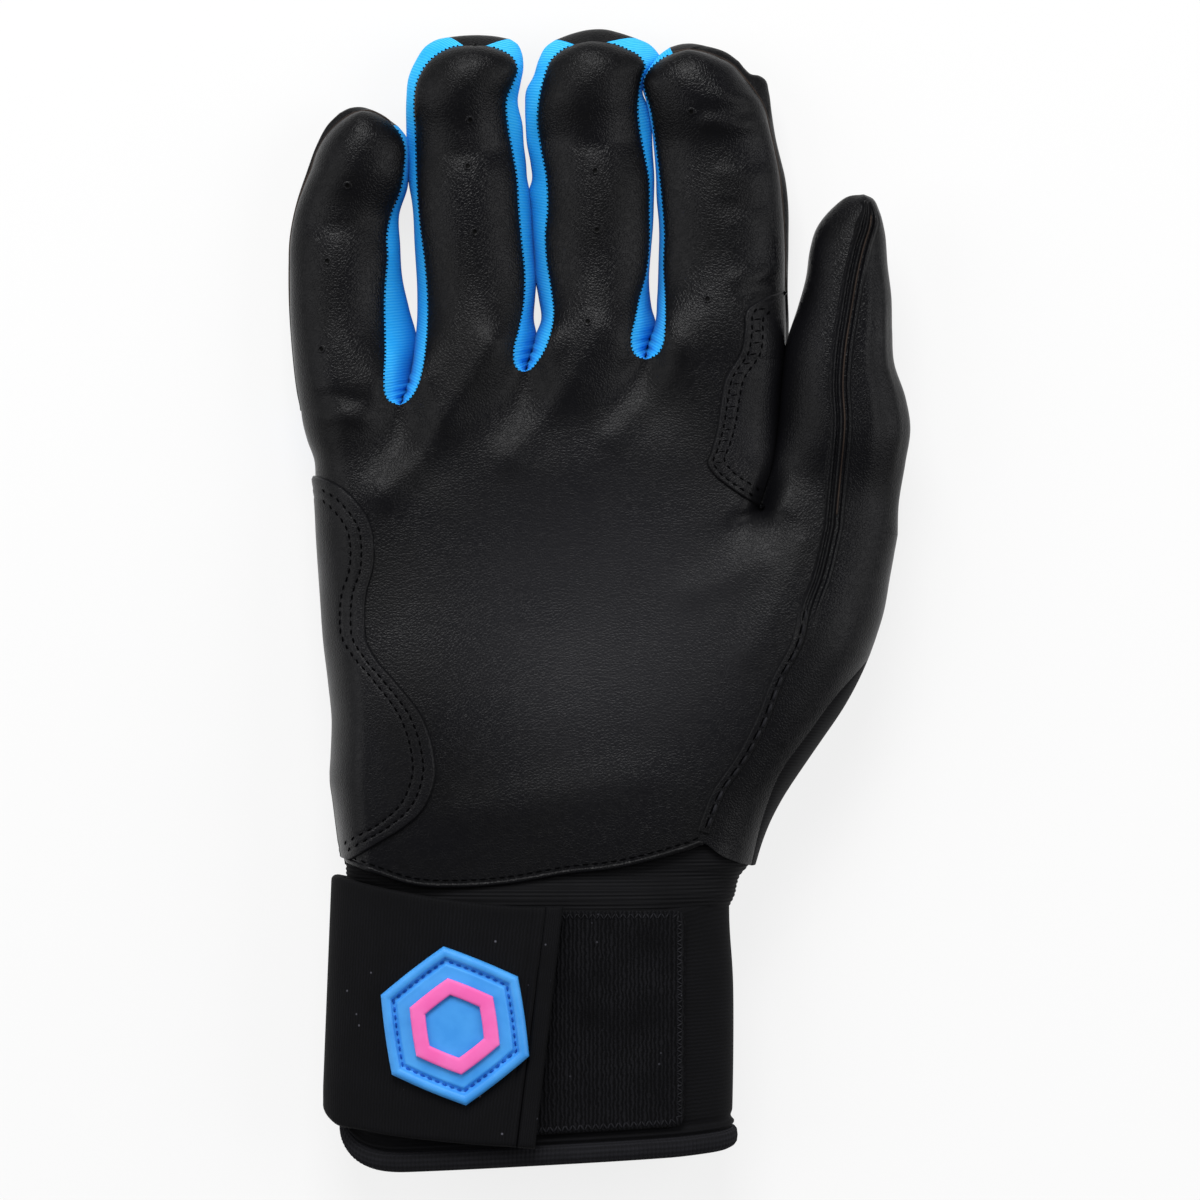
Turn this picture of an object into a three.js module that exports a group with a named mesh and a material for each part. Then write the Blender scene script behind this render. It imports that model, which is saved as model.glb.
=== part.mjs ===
// A right-hand batting glove with a long cuff, lying on its back with the palm up.
// X runs to the thumb side, Y to the fingertips, Z out of the palm. Lengths are in millimetres.
import * as THREE from 'three';

// Thickness of each material, and the gap left at every seam
const LEATHER = 1.0;
const OVERLAY = 1.1;
const GUSSET = 0.9;
const RIB = 1.2;
const SLEEVE = 1.8;
const HEM = 3.2;
const STRAP = 2.4;
const LOOP_TAPE = 1.0;
const HOOK_TAPE = 0.8;
const RUBBER = 1.8;
const SEAM = 0.3;

// Gaps between neighbouring fingers: height, middle of the gap, half its width
const CROTCH = { little: 42.5, ring: 52, middle: 53, thumb: 19.8 };
const GAP = {
  little: [[CROTCH.little, -43, 0.8], [50, -42.4, 0.7], [55, -41.9, 0.6], [64, -42, 1], [77, -43.2, 1.6],
    [90, -43.4, 0.9], [100, -43.8, 0.3], [118, -43.6, 0.3]],
  ring: [[CROTCH.ring, -15.7, 0.8], [58, -15, 0.7], [64, -14.1, 1.2], [77, -14.6, 0.7], [93, -15.6, 0.8],
    [112, -17.8, 1], [118, -16.6, 1.2]],
  middle: [[CROTCH.middle, 11.3, 0.6], [58, 12.2, 0.7], [77, 12.4, 0.9], [93, 12.8, 0.5],
    [105, 11.6, 0.2], [118, 10.8, 0.2]],
};
const LITTLE_SIDE = [[-59, -57.4], [-38, -59.6], [-27, -59.4], [10, -62.8], [31, -64.1], [42, -67.2],
  [52, -68.6], [70, -70], [89, -68], [100, -64.6]];
const INDEX_SIDE = [[19.8, 36.9], [29, 39.5], [45, 42.2], [52, 43], [83, 42.8], [93, 42.5], [105, 40.3],
  [114, 38.6]];

// Fingers: hinge line at the knuckle, start of the rounded end, end of the palm leather, tip, and the
// width of gusset that shows on each side at a few heights
const KNUCKLE_LOW = CROTCH.little - 0.5;
const KNUCKLE_HIGH = CROTCH.middle - 1.5;
const FINGERS = {
  little: { knuckle: KNUCKLE_LOW, round: 100, leather: 109.4, tip: 111, tipX: -54.2,
    right: [[43, 4.2], [55, 6.4], [70, 4.1], [83, 2.7], [100, 1.2]] },
  ring: { knuckle: KNUCKLE_LOW, round: 117.5, leather: 124.4, tip: 127.1, tipX: -29.6,
    left: [[43, 1.6], [52, 2.4], [77, 2.5], [90, 1.9], [112, 2.1], [118, 2.6]],
    right: [[52, 2], [58, 3.2], [77, 2.2], [105, 3.4], [118, 1.6]] },
  middle: { knuckle: KNUCKLE_HIGH, round: 118, leather: 125.2, tip: 128.9, tipX: -0.4,
    left: [[52, 1.5], [58, 3.4], [77, 2.4], [93, 3.3], [118, 3]],
    right: [[53, 3], [58, 5.2], [77, 1.2], [105, 2.2], [118, 1.6]] },
  index: { knuckle: KNUCKLE_HIGH, round: 114, leather: 123.6, tip: 125.2, tipX: 23.6,
    left: [[53, 1], [64, 1.6], [90, 1.1], [105, 1], [114, 1.4]] },
};

// Thumb: crease side, welted seam, outer side, and their heights over the floor
const THUMB = { round: 81, leather: 89.6, tip: 91.1, tipX: 58.6, tipZ: 19 };
const THUMB_LEFT = [[19.8, 37.6], [29, 40.3], [45, 42.9], [56, 44], [64, 44.6], [71, 46], [81, 48.2]];
const THUMB_SEAM = [[-55, 24], [-41, 31.3], [-18.5, 41.6], [-7, 46.6], [4, 50.2], [17.5, 52.4],
  [44.5, 54.9], [69, 56.5], [81, 58.4]];
const THUMB_SIDE = [[-59, 35.3], [-54, 36.9], [-45, 41], [-27, 52.7], [-9, 61], [4, 64.4], [22, 67.3],
  [37.5, 70], [52, 66.8], [71, 65.2], [81, 64.1]];
const THUMB_TOP = [[17, 31], [40, 29], [60, 26.5], [81, 23.5]];
const THUMB_BOTTOM = [[13, 6], [40, 9], [81, 13]];
const THUMB_SLANT = 0.185;

// Heights over the floor
const PALM_TOP = [[-64, 33.8], [-54, 33], [-30, 28.5], [0, 25.5], [25, 24], [52, 22.2]];
const THENAR_PAD = { rise: 5, x: 44, y: -8, wide: 20, long: 30 };
const HEEL_PAD = { rise: 2.5, x: -42, y: -22, wide: 16, long: 26 };
const PALM_HOLLOW = { rise: -2, x: -8, y: 2, wide: 18, long: 26 };
const FINGER_TOP = 18.5;
const FINGER_LIFT = 2;
const SIDE_Z = [[-60, 16], [-20, 13], [30, 11], [110, 9.5]];
const CREASE_Z = 14;
const SEAM_DROP = 6.5;
const GUSSET_Z = 9;
const BACK_SEAM_Z = 5.5;
const BACK_SEAM_INSET = 1.2;
const FINGER_BACK_Z = 0.8;
const NOSE_Z = 9.5;
const NOSE_RISE = 3.5;
const THENAR_SIDE_Z = 16;
const THENAR_FLOOR = { rise: 7, left: 36, right: 66, low: -35, high: 10 };
const CORE_INSET = 13;

// Lengths over which the shape of one region runs out into the next
const FINGER_BLEND = 24;
const SEAM_FADE = 24;
const CREASE_FADE = 22;
const BACK_FADE = 14;
const BACK_CREASE_FADE = 12;

// Wrist edge of the palm, and the stretch band across the knuckles
const PALM_HEM = [[-57, -59.2], [-44, -63.6], [-30, -64], [-3, -60.5], [16, -56.7], [24, -55], [30, -59],
  [35, -60.7]];
const BACK_HEM = -60;
const PATCH_LIFT = 0.8;
const PATCH_STOP = 4.5;
const WEB = 3.2;

// Cuff: middle, half width, floor and top of the sleeve, its two ends and the rise of its hem
const CUFF = { x: -13.6, halfWidth: 43.8, bottom: 2.7, top: 33.7, squareness: 2.6 };
const SLEEVE_START = -69.3;
const SLEEVE_END = -126;
const SLEEVE_RISES = [2.5, 1, 3];
const HEM_LENGTH = 6.6;
const HEM_RISE = 4.8;
const RIB_START = -56.5;
const RIB_TUCK = 9.7;

// Strap: turn at which the flap lifts off the cuff, edges of the flap and its end binding
const STRAP_HINGE = 149;
const STRAP_BACK_END = 300;
const onStart = ([x, up]) => [x, SLEEVE_START + up];
const onEnd = ([x, up]) => [x, SLEEVE_END + up];
const FLAP_TOP = [[-58, 6.7], [-44, 4.4], [-24, 2], [-8, 0.5]].map(onStart);
const FLAP_BOTTOM = [[-58, 12.5], [-51, 8.2], [-37, 6.4], [-13, 4]].map(onEnd);
const FLAP_END = [[FLAP_BOTTOM[3][1], -13.7], [FLAP_TOP[3][1], -7.9]];
const END_BINDING = 4.7;
const LOOP_PAD = {
  left: -38,
  right: 19,
  bottom: SLEEVE_END + 4.4,
  top: SLEEVE_START - 1.3,
  rise: HEM_RISE,
};
const HOOK_PAD = {
  left: -36,
  right: -19,
  bottom: SLEEVE_END + 11,
  top: SLEEVE_START - 3.7,
  rise: 0,
};

// Badge: middle, reach to a corner, and the ring of its emblem
const BADGE = { x: -32, y: (SLEEVE_START + SLEEVE_END) / 2 + 2.7, reach: 18, tilt: 8, corners: 6 };
const EMBLEM = { outside: 11.5, inside: 7, height: 1 };

// Sewn patches of the palm: their inner edges as height and place
const HEEL_EDGE = [[-57.4, -50], [-52, -45], [-46, -38.5], [-38, -36.4], [-31, -37.8], [-22, -44],
  [-14, -50], [-6, -52], [4, -51.4], [12, -50.2], [18, -51.8], [23, -55.5], [26.5, -60.5]];
const INDEX_PATCH_EDGE = [[19.8, 35.4], [22, 31], [27, 25.5], [33, 23], [45, 25.6], [52, 27.5], [60, 30],
  [66, 34], [68.6, 36.8]];

const { sin, cos, PI, min, max, sqrt } = Math;
const { clamp, lerp, smoothstep, degToRad } = THREE.MathUtils;
const point = (x, y, z) => new THREE.Vector3(x, y, z);
const steps = (count) => Array.from({ length: count + 1 }, (_, k) => k / count);

// A smooth curve through [place, value] pairs, level beyond its ends.
function through(pairs) {
  const last = pairs.length - 1;
  const slope = pairs.map((_, i) => {
    const before = pairs[max(i - 1, 0)];
    const after = pairs[min(i + 1, last)];
    return (after[1] - before[1]) / (after[0] - before[0]);
  });
  return (place) => {
    const at = clamp(place, pairs[0][0], pairs[last][0]);
    const i = max(1, pairs.findIndex(([p]) => p >= at)) - 1;
    const span = pairs[i + 1][0] - pairs[i][0];
    const s = (at - pairs[i][0]) / span;
    const rise = s * s * (3 - 2 * s);
    return lerp(pairs[i][1], pairs[i + 1][1], rise)
      + span * s * (1 - s) * ((1 - s) * slope[i] - s * slope[i + 1]);
  };
}

// A closed sheet between an outer and an inner grid of points, over the cells that are kept.
// A round sheet joins its last column to its first.
function sheet(outer, inner, { keep = () => true, round = false } = {}) {
  const rows = outer.length - 1;
  const columns = outer[0].length - 1;
  const places = [];
  const corners = [];
  const known = new Map();
  const id = (p) => {
    const key = p.toArray().map((v) => Math.round(v * 500)).join();
    if (!known.has(key)) {
      known.set(key, places.length / 3);
      places.push(...p.toArray());
    }
    return known.get(key);
  };
  const face = (...loop) => {
    const [a, b, c] = loop.map(id);
    if (a !== b && b !== c && c !== a) corners.push(a, b, c);
  };
  const quad = (a, b, c, d) => {
    face(a, b, c);
    face(a, c, d);
  };
  const cell = (i, j) => {
    const column = round ? (j + columns) % columns : j;
    return i >= 0 && column >= 0 && i < rows && column < columns && keep(i, column);
  };
  for (let i = 0; i < rows; i++) {
    for (let j = 0; j < columns; j++) {
      if (!cell(i, j)) continue;
      const o = [outer[i][j], outer[i][j + 1], outer[i + 1][j + 1], outer[i + 1][j]];
      const n = [inner[i][j], inner[i][j + 1], inner[i + 1][j + 1], inner[i + 1][j]];
      quad(...o);
      quad(...[...n].reverse());
      const open = [!cell(i - 1, j), !cell(i, j + 1), !cell(i + 1, j), !cell(i, j - 1)];
      open.forEach((isOpen, k) => {
        const next = (k + 1) % 4;
        if (isOpen) quad(o[next], o[k], n[k], n[next]);
      });
    }
  }
  const geometry = new THREE.BufferGeometry();
  geometry.setAttribute('position', new THREE.Float32BufferAttribute(places, 3));
  geometry.setIndex(volume(places, corners) < 0 ? corners.reverse() : corners);
  geometry.computeVertexNormals();
  return geometry;
}

function volume(places, corners) {
  const p = (k) => point(...places.slice(3 * corners[k], 3 * corners[k] + 3));
  let sum = 0;
  for (let k = 0; k < corners.length; k += 3) sum += p(k).dot(p(k + 1).cross(p(k + 2)));
  return sum;
}

// The grid moved towards the core of the hand by a depth; a negative depth lifts it off.
function sunk(grid, core, depth) {
  return grid.map((row) => row.map((p) => {
    const inwards = core(p).sub(p).normalize();
    return p.clone().addScaledVector(inwards, depth);
  }));
}

function skin(grid, core, thickness, options) {
  return sheet(grid, sunk(grid, core, thickness), options);
}

function overlay(grid, core) {
  return sheet(sunk(grid, core, -PATCH_LIFT - OVERLAY), sunk(grid, core, -PATCH_LIFT));
}

// Sides of the hand and its lanes
const littleSide = through(LITTLE_SIDE);
const indexSide = through(INDEX_SIDE);
const thumbLeft = through(THUMB_LEFT);
const thumbSeam = through(THUMB_SEAM);
const thumbSide = through(THUMB_SIDE);
const sideZ = through(SIDE_Z);
const palmHem = through(PALM_HEM);
const palmBase = through(PALM_TOP);
const thumbBottom = through(THUMB_BOTTOM);
const gapMiddle = {};
const gapHalf = {};
const HEM_LINES = [-44, -27, -8, 12];
const hemMiddle = PALM_HEM[0][1];
const laneLine = (start, end, height) => through([[hemMiddle, start], [height, end]]);
const laneLines = [
  laneLine(HEM_LINES[0], GAP.little[0][1], CROTCH.little),
  laneLine(HEM_LINES[1], GAP.ring[0][1], CROTCH.ring),
  laneLine(HEM_LINES[2], GAP.middle[0][1], CROTCH.middle),
  laneLine(HEM_LINES[3], INDEX_SIDE[0][1], CROTCH.thumb),
];
Object.entries(GAP).forEach(([name, rows], k) => {
  const above = through(rows.map(([y, x]) => [y, x]));
  gapMiddle[name] = (y) => (y < CROTCH[name] ? laneLines[k](y) : above(y));
  gapHalf[name] = through(rows.map(([y, , half]) => [y, half]));
});
const thumbBase = (x) => CROTCH.thumb - THUMB_SLANT * max(0, x - INDEX_SIDE[0][1]);

// Height of the palm: a sloping pad with the two heels and the hollow between them
function palmTop(x, y) {
  return [THENAR_PAD, HEEL_PAD, PALM_HOLLOW].reduce((z, form) => {
    const away = ((x - form.x) / form.wide) ** 2 + ((y - form.y) / form.long) ** 2;
    return z + form.rise * Math.exp(-away);
  }, palmBase(y));
}
const thumbTop = through([[CROTCH.thumb - 3, palmTop(thumbSeam(17), 17)], ...THUMB_TOP.slice(1)]);

function fingerTop(finger, x, y) {
  const { knuckle, round } = finger;
  const own = FINGER_TOP + FINGER_LIFT * (1 - smoothstep(y, knuckle, round));
  return lerp(palmTop(x, min(y, knuckle)), own, smoothstep(y, knuckle, knuckle + FINGER_BLEND));
}

// Fall from the top of a lane to its sides, full at a crotch and fading below it
const fade = (y, crotch, reach) => smoothstep(y, crotch - reach, crotch);
const NAMES = Object.keys(FINGERS);
const CROTCHES = [CROTCH.little, CROTCH.ring, CROTCH.middle];

function laneEdges(y) {
  const inner = laneLines.map((line) => line(y));
  return [littleSide(y), ...inner, thumbSeam(y)];
}

// A row of the palm front: lane by lane, at one height per column
const LANE_COLUMNS = 6;
const THUMB_COLUMNS = 4;
const COLUMNS = 4 * LANE_COLUMNS + THUMB_COLUMNS;
const THUMB_START = 4 * LANE_COLUMNS;

function laneFall(lane, isRight, top, y) {
  if (lane === 0 && !isRight) return top - sideZ(y);
  if ((lane === 3 && isRight) || lane === 4) {
    return (top - CREASE_Z) * fade(y, CROTCH.thumb, CREASE_FADE);
  }
  return SEAM_DROP * fade(y, CROTCHES[isRight ? lane : lane - 1], SEAM_FADE);
}

function palmPoint(lane, along, edges, y) {
  const isThumb = lane === 4;
  const turn = along * (isThumb ? PI / 2 : PI);
  const [left, right] = [edges[lane], edges[lane + 1]];
  const x = isThumb ? right - (right - left) * cos(turn) : lerp(left, right, (1 - cos(turn)) / 2);
  const top = palmTop(x, y);
  const fall = laneFall(lane, !isThumb && along > 0.5, top, y);
  return point(x, y, top - fall * (1 - sin(turn)));
}

// Lane at a place, and how far across it the place lies
function laneAt(x, edges) {
  const lane = clamp(edges.findIndex((edge) => edge > x) - 1, 0, 3);
  const share = (x - edges[lane]) / (edges[lane + 1] - edges[lane]);
  return [lane, Math.acos(clamp(1 - 2 * share, -1, 1)) / PI];
}

// Height of the palm front at any place, for the patches sewn on it
function palmZ(x, y) {
  const edges = laneEdges(y);
  if (y > CROTCH.thumb) edges[4] = indexSide(y);
  return palmPoint(...laneAt(x, edges), edges, y).z;
}

// Rows of the palm and of the back: from the hem to the thumb crotch, then to the knuckles
const LOW_ROWS = 7;
const HIGH_ROWS = 4;
function handGrid(spot, edgesAt, hem) {
  return steps(LOW_ROWS + HIGH_ROWS).map((_, i) => {
    const low = min(1, i / LOW_ROWS);
    const high = max(0, i - LOW_ROWS) / HIGH_ROWS;
    return steps(COLUMNS).map((__, j) => {
      const lane = min(4, Math.floor(j / LANE_COLUMNS));
      const start = lane * LANE_COLUMNS;
      const along = (j - start) / (lane === 4 ? THUMB_COLUMNS : LANE_COLUMNS);
      const knuckle = FINGERS[NAMES[min(lane, j % LANE_COLUMNS ? 3 : max(0, lane - 1), 3)]].knuckle;
      const level = lerp(hemMiddle, lerp(CROTCH.thumb, knuckle - SEAM / 2, high), low);
      const edges = edgesAt(level);
      if (high > 0) edges[4] = indexSide(level);
      const p = spot(lane, along, edges, level);
      const top = lane === 4 ? thumbBase(p.x) - SEAM / 2 : level;
      const y = i <= LOW_ROWS ? lerp(hem(p.x), lane === 4 ? top : CROTCH.thumb, low) : level;
      return spot(lane, along, edges, y);
    });
  });
}
const inHand = (i, j) => i < LOW_ROWS || j < THUMB_START;

function handCore(p) {
  const right = p.y > CROTCH.thumb ? indexSide(p.y) : thumbSide(p.y);
  return point(clamp(p.x, littleSide(p.y) + CORE_INSET, right - CORE_INSET), p.y, sideZ(p.y) + LEATHER);
}

// Back of the hand: flat, with raised sides
const backEdges = (y) => [...laneEdges(y).slice(0, 5), thumbSide(y)];
const flatness = (turn) => min(1, 1.1 * sqrt(sin(turn)));
function thenarFloor(x, y) {
  const { rise, left, right, low, high } = THENAR_FLOOR;
  return rise * smoothstep(x, left, right) * smoothstep(y, low, high);
}

function backPoint(lane, along, edges, y) {
  const turn = along * PI;
  const [left, right] = [edges[lane], edges[lane + 1]];
  const isRight = along > 0.5;
  const x = lerp(left, right, (1 - cos(turn)) / 2);
  const floor = thenarFloor(x, y);
  let rise = BACK_SEAM_Z * fade(y, CROTCHES[clamp(isRight ? lane : lane - 1, 0, 2)], BACK_FADE);
  if (lane === 0 && !isRight) rise = sideZ(y) - SEAM;
  if ((lane === 3 && isRight) || (lane === 4 && !isRight)) {
    rise = (CREASE_Z - SEAM - floor) * fade(y, CROTCH.thumb, BACK_CREASE_FADE);
  }
  if (lane === 4 && isRight) rise = THENAR_SIDE_Z - SEAM - floor;
  return point(x, y, floor + rise * (1 - flatness(turn)));
}

// A finger: rows along its length, then rows that turn over the rounded end
const FINGER_ROWS = 7;
const TIP_ROWS = 4;
const CORNER = 0.8;
const rounding = (turn) => ({ shrink: max(0, cos(turn)) ** CORNER, grow: sin(turn) ** CORNER });

function fingerRows(finger, from) {
  const straight = steps(FINGER_ROWS).map((s) => ({ y: lerp(from, finger.round, s), turn: 0 }));
  const tip = steps(TIP_ROWS).slice(1).map((s) => ({ y: finger.round, turn: s * PI / 2 }));
  return [...straight, ...tip];
}

// Moves a point of the last straight row towards an end point as the finger closes
function closing(p, turn, end) {
  if (!turn) return p;
  const { shrink, grow } = rounding(turn);
  return point(lerp(end.x, p.x, shrink), lerp(p.y, end.y, grow), lerp(end.z, p.z, shrink));
}

function makeFinger(name) {
  const finger = FINGERS[name];
  const at = NAMES.indexOf(name);
  const [gapL, gapR] = [NAMES[at - 1], name];
  const hasLeft = at > 0;
  const hasRight = at < 3;
  const left = (y) => (hasLeft ? gapMiddle[gapL](y) + gapHalf[gapL](y) : littleSide(y));
  const right = (y) => (hasRight ? gapMiddle[gapR](y) - gapHalf[gapR](y) : indexSide(y));
  const showL = hasLeft ? through(finger.left) : () => 0;
  const showR = hasRight ? through(finger.right) : () => 0;
  const crotchL = hasLeft ? CROTCH[gapL] : finger.knuckle;
  const crotchR = hasRight ? CROTCH[gapR] : finger.knuckle;
  const frontL = (y) => left(y) + showL(y) * smoothstep(y, crotchL - 2, crotchL + 4);
  const frontR = (y) => right(y) - showR(y) * smoothstep(y, crotchR - 2, crotchR + 4);
  const tipZ = NOSE_Z + NOSE_RISE;
  const leatherEnd = point(finger.tipX, finger.leather, tipZ);
  const core = (p) => {
    const y = min(p.y, finger.round);
    const inset = (right(y) - left(y)) / 2 - 4;
    const middle = (right(y) + left(y)) / 2;
    return point(clamp(p.x, middle - inset / 2, middle + inset / 2), y, NOSE_Z);
  };
  const seamZ = (x, y, isRight) => {
    const top = fingerTop(finger, x, y);
    if (isRight ? !hasRight : !hasLeft) return sideZ(y);
    return top - SEAM_DROP * fade(y, isRight ? crotchR : crotchL, SEAM_FADE);
  };
  const frontPoint = (turn, y) => {
    const x = lerp(frontL(y), frontR(y), (1 - cos(turn)) / 2);
    const top = fingerTop(finger, x, y);
    return point(x, y, lerp(seamZ(x, y, turn > PI / 2), top, sin(turn)));
  };
  const base = finger.knuckle + SEAM / 2;
  const front = fingerRows(finger, base).map(({ y, turn }) => steps(LANE_COLUMNS)
    .map((s) => closing(frontPoint(s * PI, y), turn, leatherEnd)));

  const backInset = (y, isRight) => {
    const crotch = isRight ? crotchR : crotchL;
    return BACK_SEAM_INSET * smoothstep(y, crotch - 1, crotch + 3);
  };

  // The gusset hangs from the leather's edge, bulges to the side and ends at the back seam
  const sideEnd = (sign) => point(finger.tipX + sign * 1.6, finger.leather + 0.7, tipZ - SEAM);
  const gusset = (isRight) => {
    const sign = isRight ? 1 : -1;
    const rim = isRight ? right : left;
    const seamX = isRight ? frontR : frontL;
    const start = max(base, (isRight ? crotchR : crotchL) + SEAM);
    return fingerRows(finger, start).map(({ y, turn }) => {
      const upper = point(seamX(y), y, seamZ(seamX(y), y, isRight) - SEAM);
      const lower = point(rim(y) - sign * backInset(y, isRight), y, BACK_SEAM_Z);
      const bulge = point(2 * rim(y), 2 * y, 2 * GUSSET_Z).addScaledVector(upper.clone().add(lower), -0.5);
      return steps(3).map((s) => {
        const p = upper.clone().multiplyScalar((1 - s) ** 2)
          .addScaledVector(bulge, 2 * s * (1 - s)).addScaledVector(lower, s * s);
        return closing(p, turn, sideEnd(sign));
      });
    });
  };

  // The back runs from seam to seam under the finger and over the nose to the leather's end
  const backEdge = (isRight, y) => {
    const sign = isRight ? 1 : -1;
    if (isRight ? hasRight : hasLeft) {
      const crotch = isRight ? crotchR : crotchL;
      const x = (isRight ? right : left)(y) - sign * backInset(y, isRight);
      return point(x, y, (BACK_SEAM_Z - SEAM) * fade(y, crotch, BACK_FADE));
    }
    return point(isRight ? frontR(y) : frontL(y), y, sideZ(y) - SEAM);
  };
  const noseTurn = Math.acos((finger.leather + 2 * SEAM - finger.round) / (finger.tip - finger.round));
  const noseLift = (tipZ - 2 * SEAM - NOSE_Z) / sin(noseTurn);
  const backRows = fingerRows(finger, base).map(({ y, turn }) => {
    const edges = [false, true].map((isRight) => {
      const end = sideEnd(isRight ? 1 : -1).add(point(0, SEAM, -SEAM));
      return closing(backEdge(isRight, y), turn, end);
    });
    const swing = lerp(-PI / 2, noseTurn, turn * 2 / PI);
    const low = (NOSE_Z - FINGER_BACK_Z) * sin(min(swing, 0));
    const reach = turn ? (finger.tip - y) * cos(swing) : 0;
    const spine = point(0, y + reach, NOSE_Z + low + noseLift * sin(max(swing, 0)));
    return steps(LANE_COLUMNS).map((s) => {
      const along = (1 - cos(s * PI)) / 2;
      const p = edges[0].clone().lerp(edges[1], along);
      const sag = flatness(s * PI);
      return point(p.x, lerp(p.y, spine.y, sag), lerp(p.z, spine.z, sag));
    });
  });
  const pieces = {
    [`${name}_front`]: [skin(front, core, LEATHER), 'leather'],
    [`${name}_back`]: [skin(backRows, core, LEATHER), 'backCloth'],
  };
  if (hasLeft) pieces[`${name}_gusset_left`] = [skin(gusset(false), core, GUSSET), 'stretch'];
  if (hasRight) pieces[`${name}_gusset_right`] = [skin(gusset(true), core, GUSSET), 'stretch'];
  return { pieces, frontPoint, core, base };
}

// Thumb: the front runs from the crease to the seam, the outer panel from the seam round to the crease
const quarter = (a, b, isFirst) => (s) => {
  const turn = s * PI / 2;
  const [u, w] = isFirst ? [sin(turn), 1 - cos(turn)] : [1 - cos(turn), sin(turn)];
  return point(lerp(a.x, b.x, u), a.y, lerp(a.z, b.z, w));
};
const THUMB_ROWS = 7;
const thumbEnd = point(THUMB.tipX, THUMB.tip, THUMB.tipZ);
function thumbCore(p) {
  const y = min(p.y, THUMB.round);
  const x = (thumbLeft(y) + thumbSide(y)) / 2;
  return point(clamp(p.x, x - 3, x + 3), y, (thumbTop(y) + thumbBottom(y)) / 2);
}
function thumbGrid(row, end) {
  const straight = steps(THUMB_ROWS).map((s) => {
    const level = lerp(CROTCH.thumb, THUMB.round, s);
    return row(level).map((p) => {
      const drop = (thumbBase(p.x) - CROTCH.thumb) * (1 - s) ** 2 + (s ? 0 : SEAM / 2);
      return p.setY(level + drop);
    });
  });
  const tip = steps(TIP_ROWS).slice(1).map((s) => row(THUMB.round).map((p) => closing(p, s * PI / 2, end)));
  return [...straight, ...tip];
}
function thumbFrontRow(y) {
  const low = point(thumbLeft(y), y, CREASE_Z + 0.5);
  const seam = point(thumbSeam(y) - SEAM / 2, y, thumbTop(y));
  return steps(THUMB_COLUMNS).map(quarter(low, seam, false));
}
function thumbBackRow(y) {
  const seam = point(thumbSeam(y) + SEAM / 2, y, thumbTop(y));
  const outside = point(thumbSide(y), y, (thumbTop(y) + thumbBottom(y)) / 2 - 1);
  const bottom = point((thumbLeft(y) + thumbSide(y)) / 2, y, thumbBottom(y));
  const low = point(thumbLeft(y), y, CREASE_Z + 0.5 - SEAM);
  return [
    ...steps(3).map(quarter(seam, outside, true)),
    ...steps(3).slice(1).map(quarter(outside, bottom, false)),
    ...steps(3).slice(1).map(quarter(bottom, low, true)),
  ];
}
const thumbFrontEnd = point(THUMB.tipX - 0.4, THUMB.leather, THUMB.tipZ);

// Outer panel of the thumb below its base, from the seam to the back of the hand
const thenarGrid = steps(LOW_ROWS).map((s) => steps(THUMB_COLUMNS).map((t) => {
  const level = lerp(hemMiddle, CROTCH.thumb, s);
  const seam = point(thumbSeam(level) + SEAM, level, palmTop(thumbSeam(level), level));
  const low = point(thumbSide(level), level, THENAR_SIDE_Z);
  const p = quarter(seam, low, true)(t);
  return p.setY(lerp(palmHem(p.x), thumbBase(p.x) - SEAM / 2, s));
}));

// Welt standing on the thumb seam
const welt = [0, 1].map((side) => steps(10).map((s) => {
  const y = lerp(CROTCH.thumb + 0.5, THUMB.round, s);
  const z = thumbTop(y) + SEAM + 0.2;
  return [-1.3, 0, 1.3].map((x) => point(thumbSeam(y) + x, y, z + (side ? 0 : (x ? 0.7 : 1.2))));
}));

// Cuff: a rounded ring at a distance off the sleeve, rising towards the thumb side at its hem
const cuffShare = (x) => (x - CUFF.x + CUFF.halfWidth) / (2 * CUFF.halfWidth);
function cuffPoint(y, turn, off, rise = 0) {
  const power = 2 / CUFF.squareness;
  const [c, s] = [cos(turn), sin(turn)];
  const x = CUFF.x + (CUFF.halfWidth + off) * Math.sign(c) * Math.abs(c) ** power;
  const half = (CUFF.top - CUFF.bottom) / 2;
  const z = CUFF.bottom + half + (half + off + (s < 0 ? 1 : 0)) * Math.sign(s) * Math.abs(s) ** power;
  return point(x, y + rise * cuffShare(x), max(z, CUFF.bottom - off));
}
function cuffTop(x, off) {
  const half = (CUFF.top - CUFF.bottom) / 2;
  const across = clamp(Math.abs(x - CUFF.x) / (CUFF.halfWidth + off), 0, 1);
  return CUFF.bottom + half + (half + off) * (1 - across ** CUFF.squareness) ** (1 / CUFF.squareness);
}
const AROUND = 36;
const ring = (levels, off) => levels.map(([y, rise]) => steps(AROUND)
  .map((s) => cuffPoint(y, s * 2 * PI, off, rise)));
const tube = (levels, outside, thickness) => sheet(ring(levels, outside), ring(levels, outside - thickness),
  { round: true });
const sleeveLow = SLEEVE_END + HEM_LENGTH / 2 + SEAM;
const sleeveLevels = [...SLEEVE_RISES, HEM_RISE]
  .map((rise, k) => [lerp(SLEEVE_START, sleeveLow, k / 3), rise]);
const ribLevels = steps(2).map((s) => [lerp(RIB_START, SLEEVE_START - RIB_TUCK, s), 0]);
const hemLevels = steps(3).map((s) => [SLEEVE_END + HEM_LENGTH / 2 - s * HEM_LENGTH, HEM_RISE]);

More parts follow.
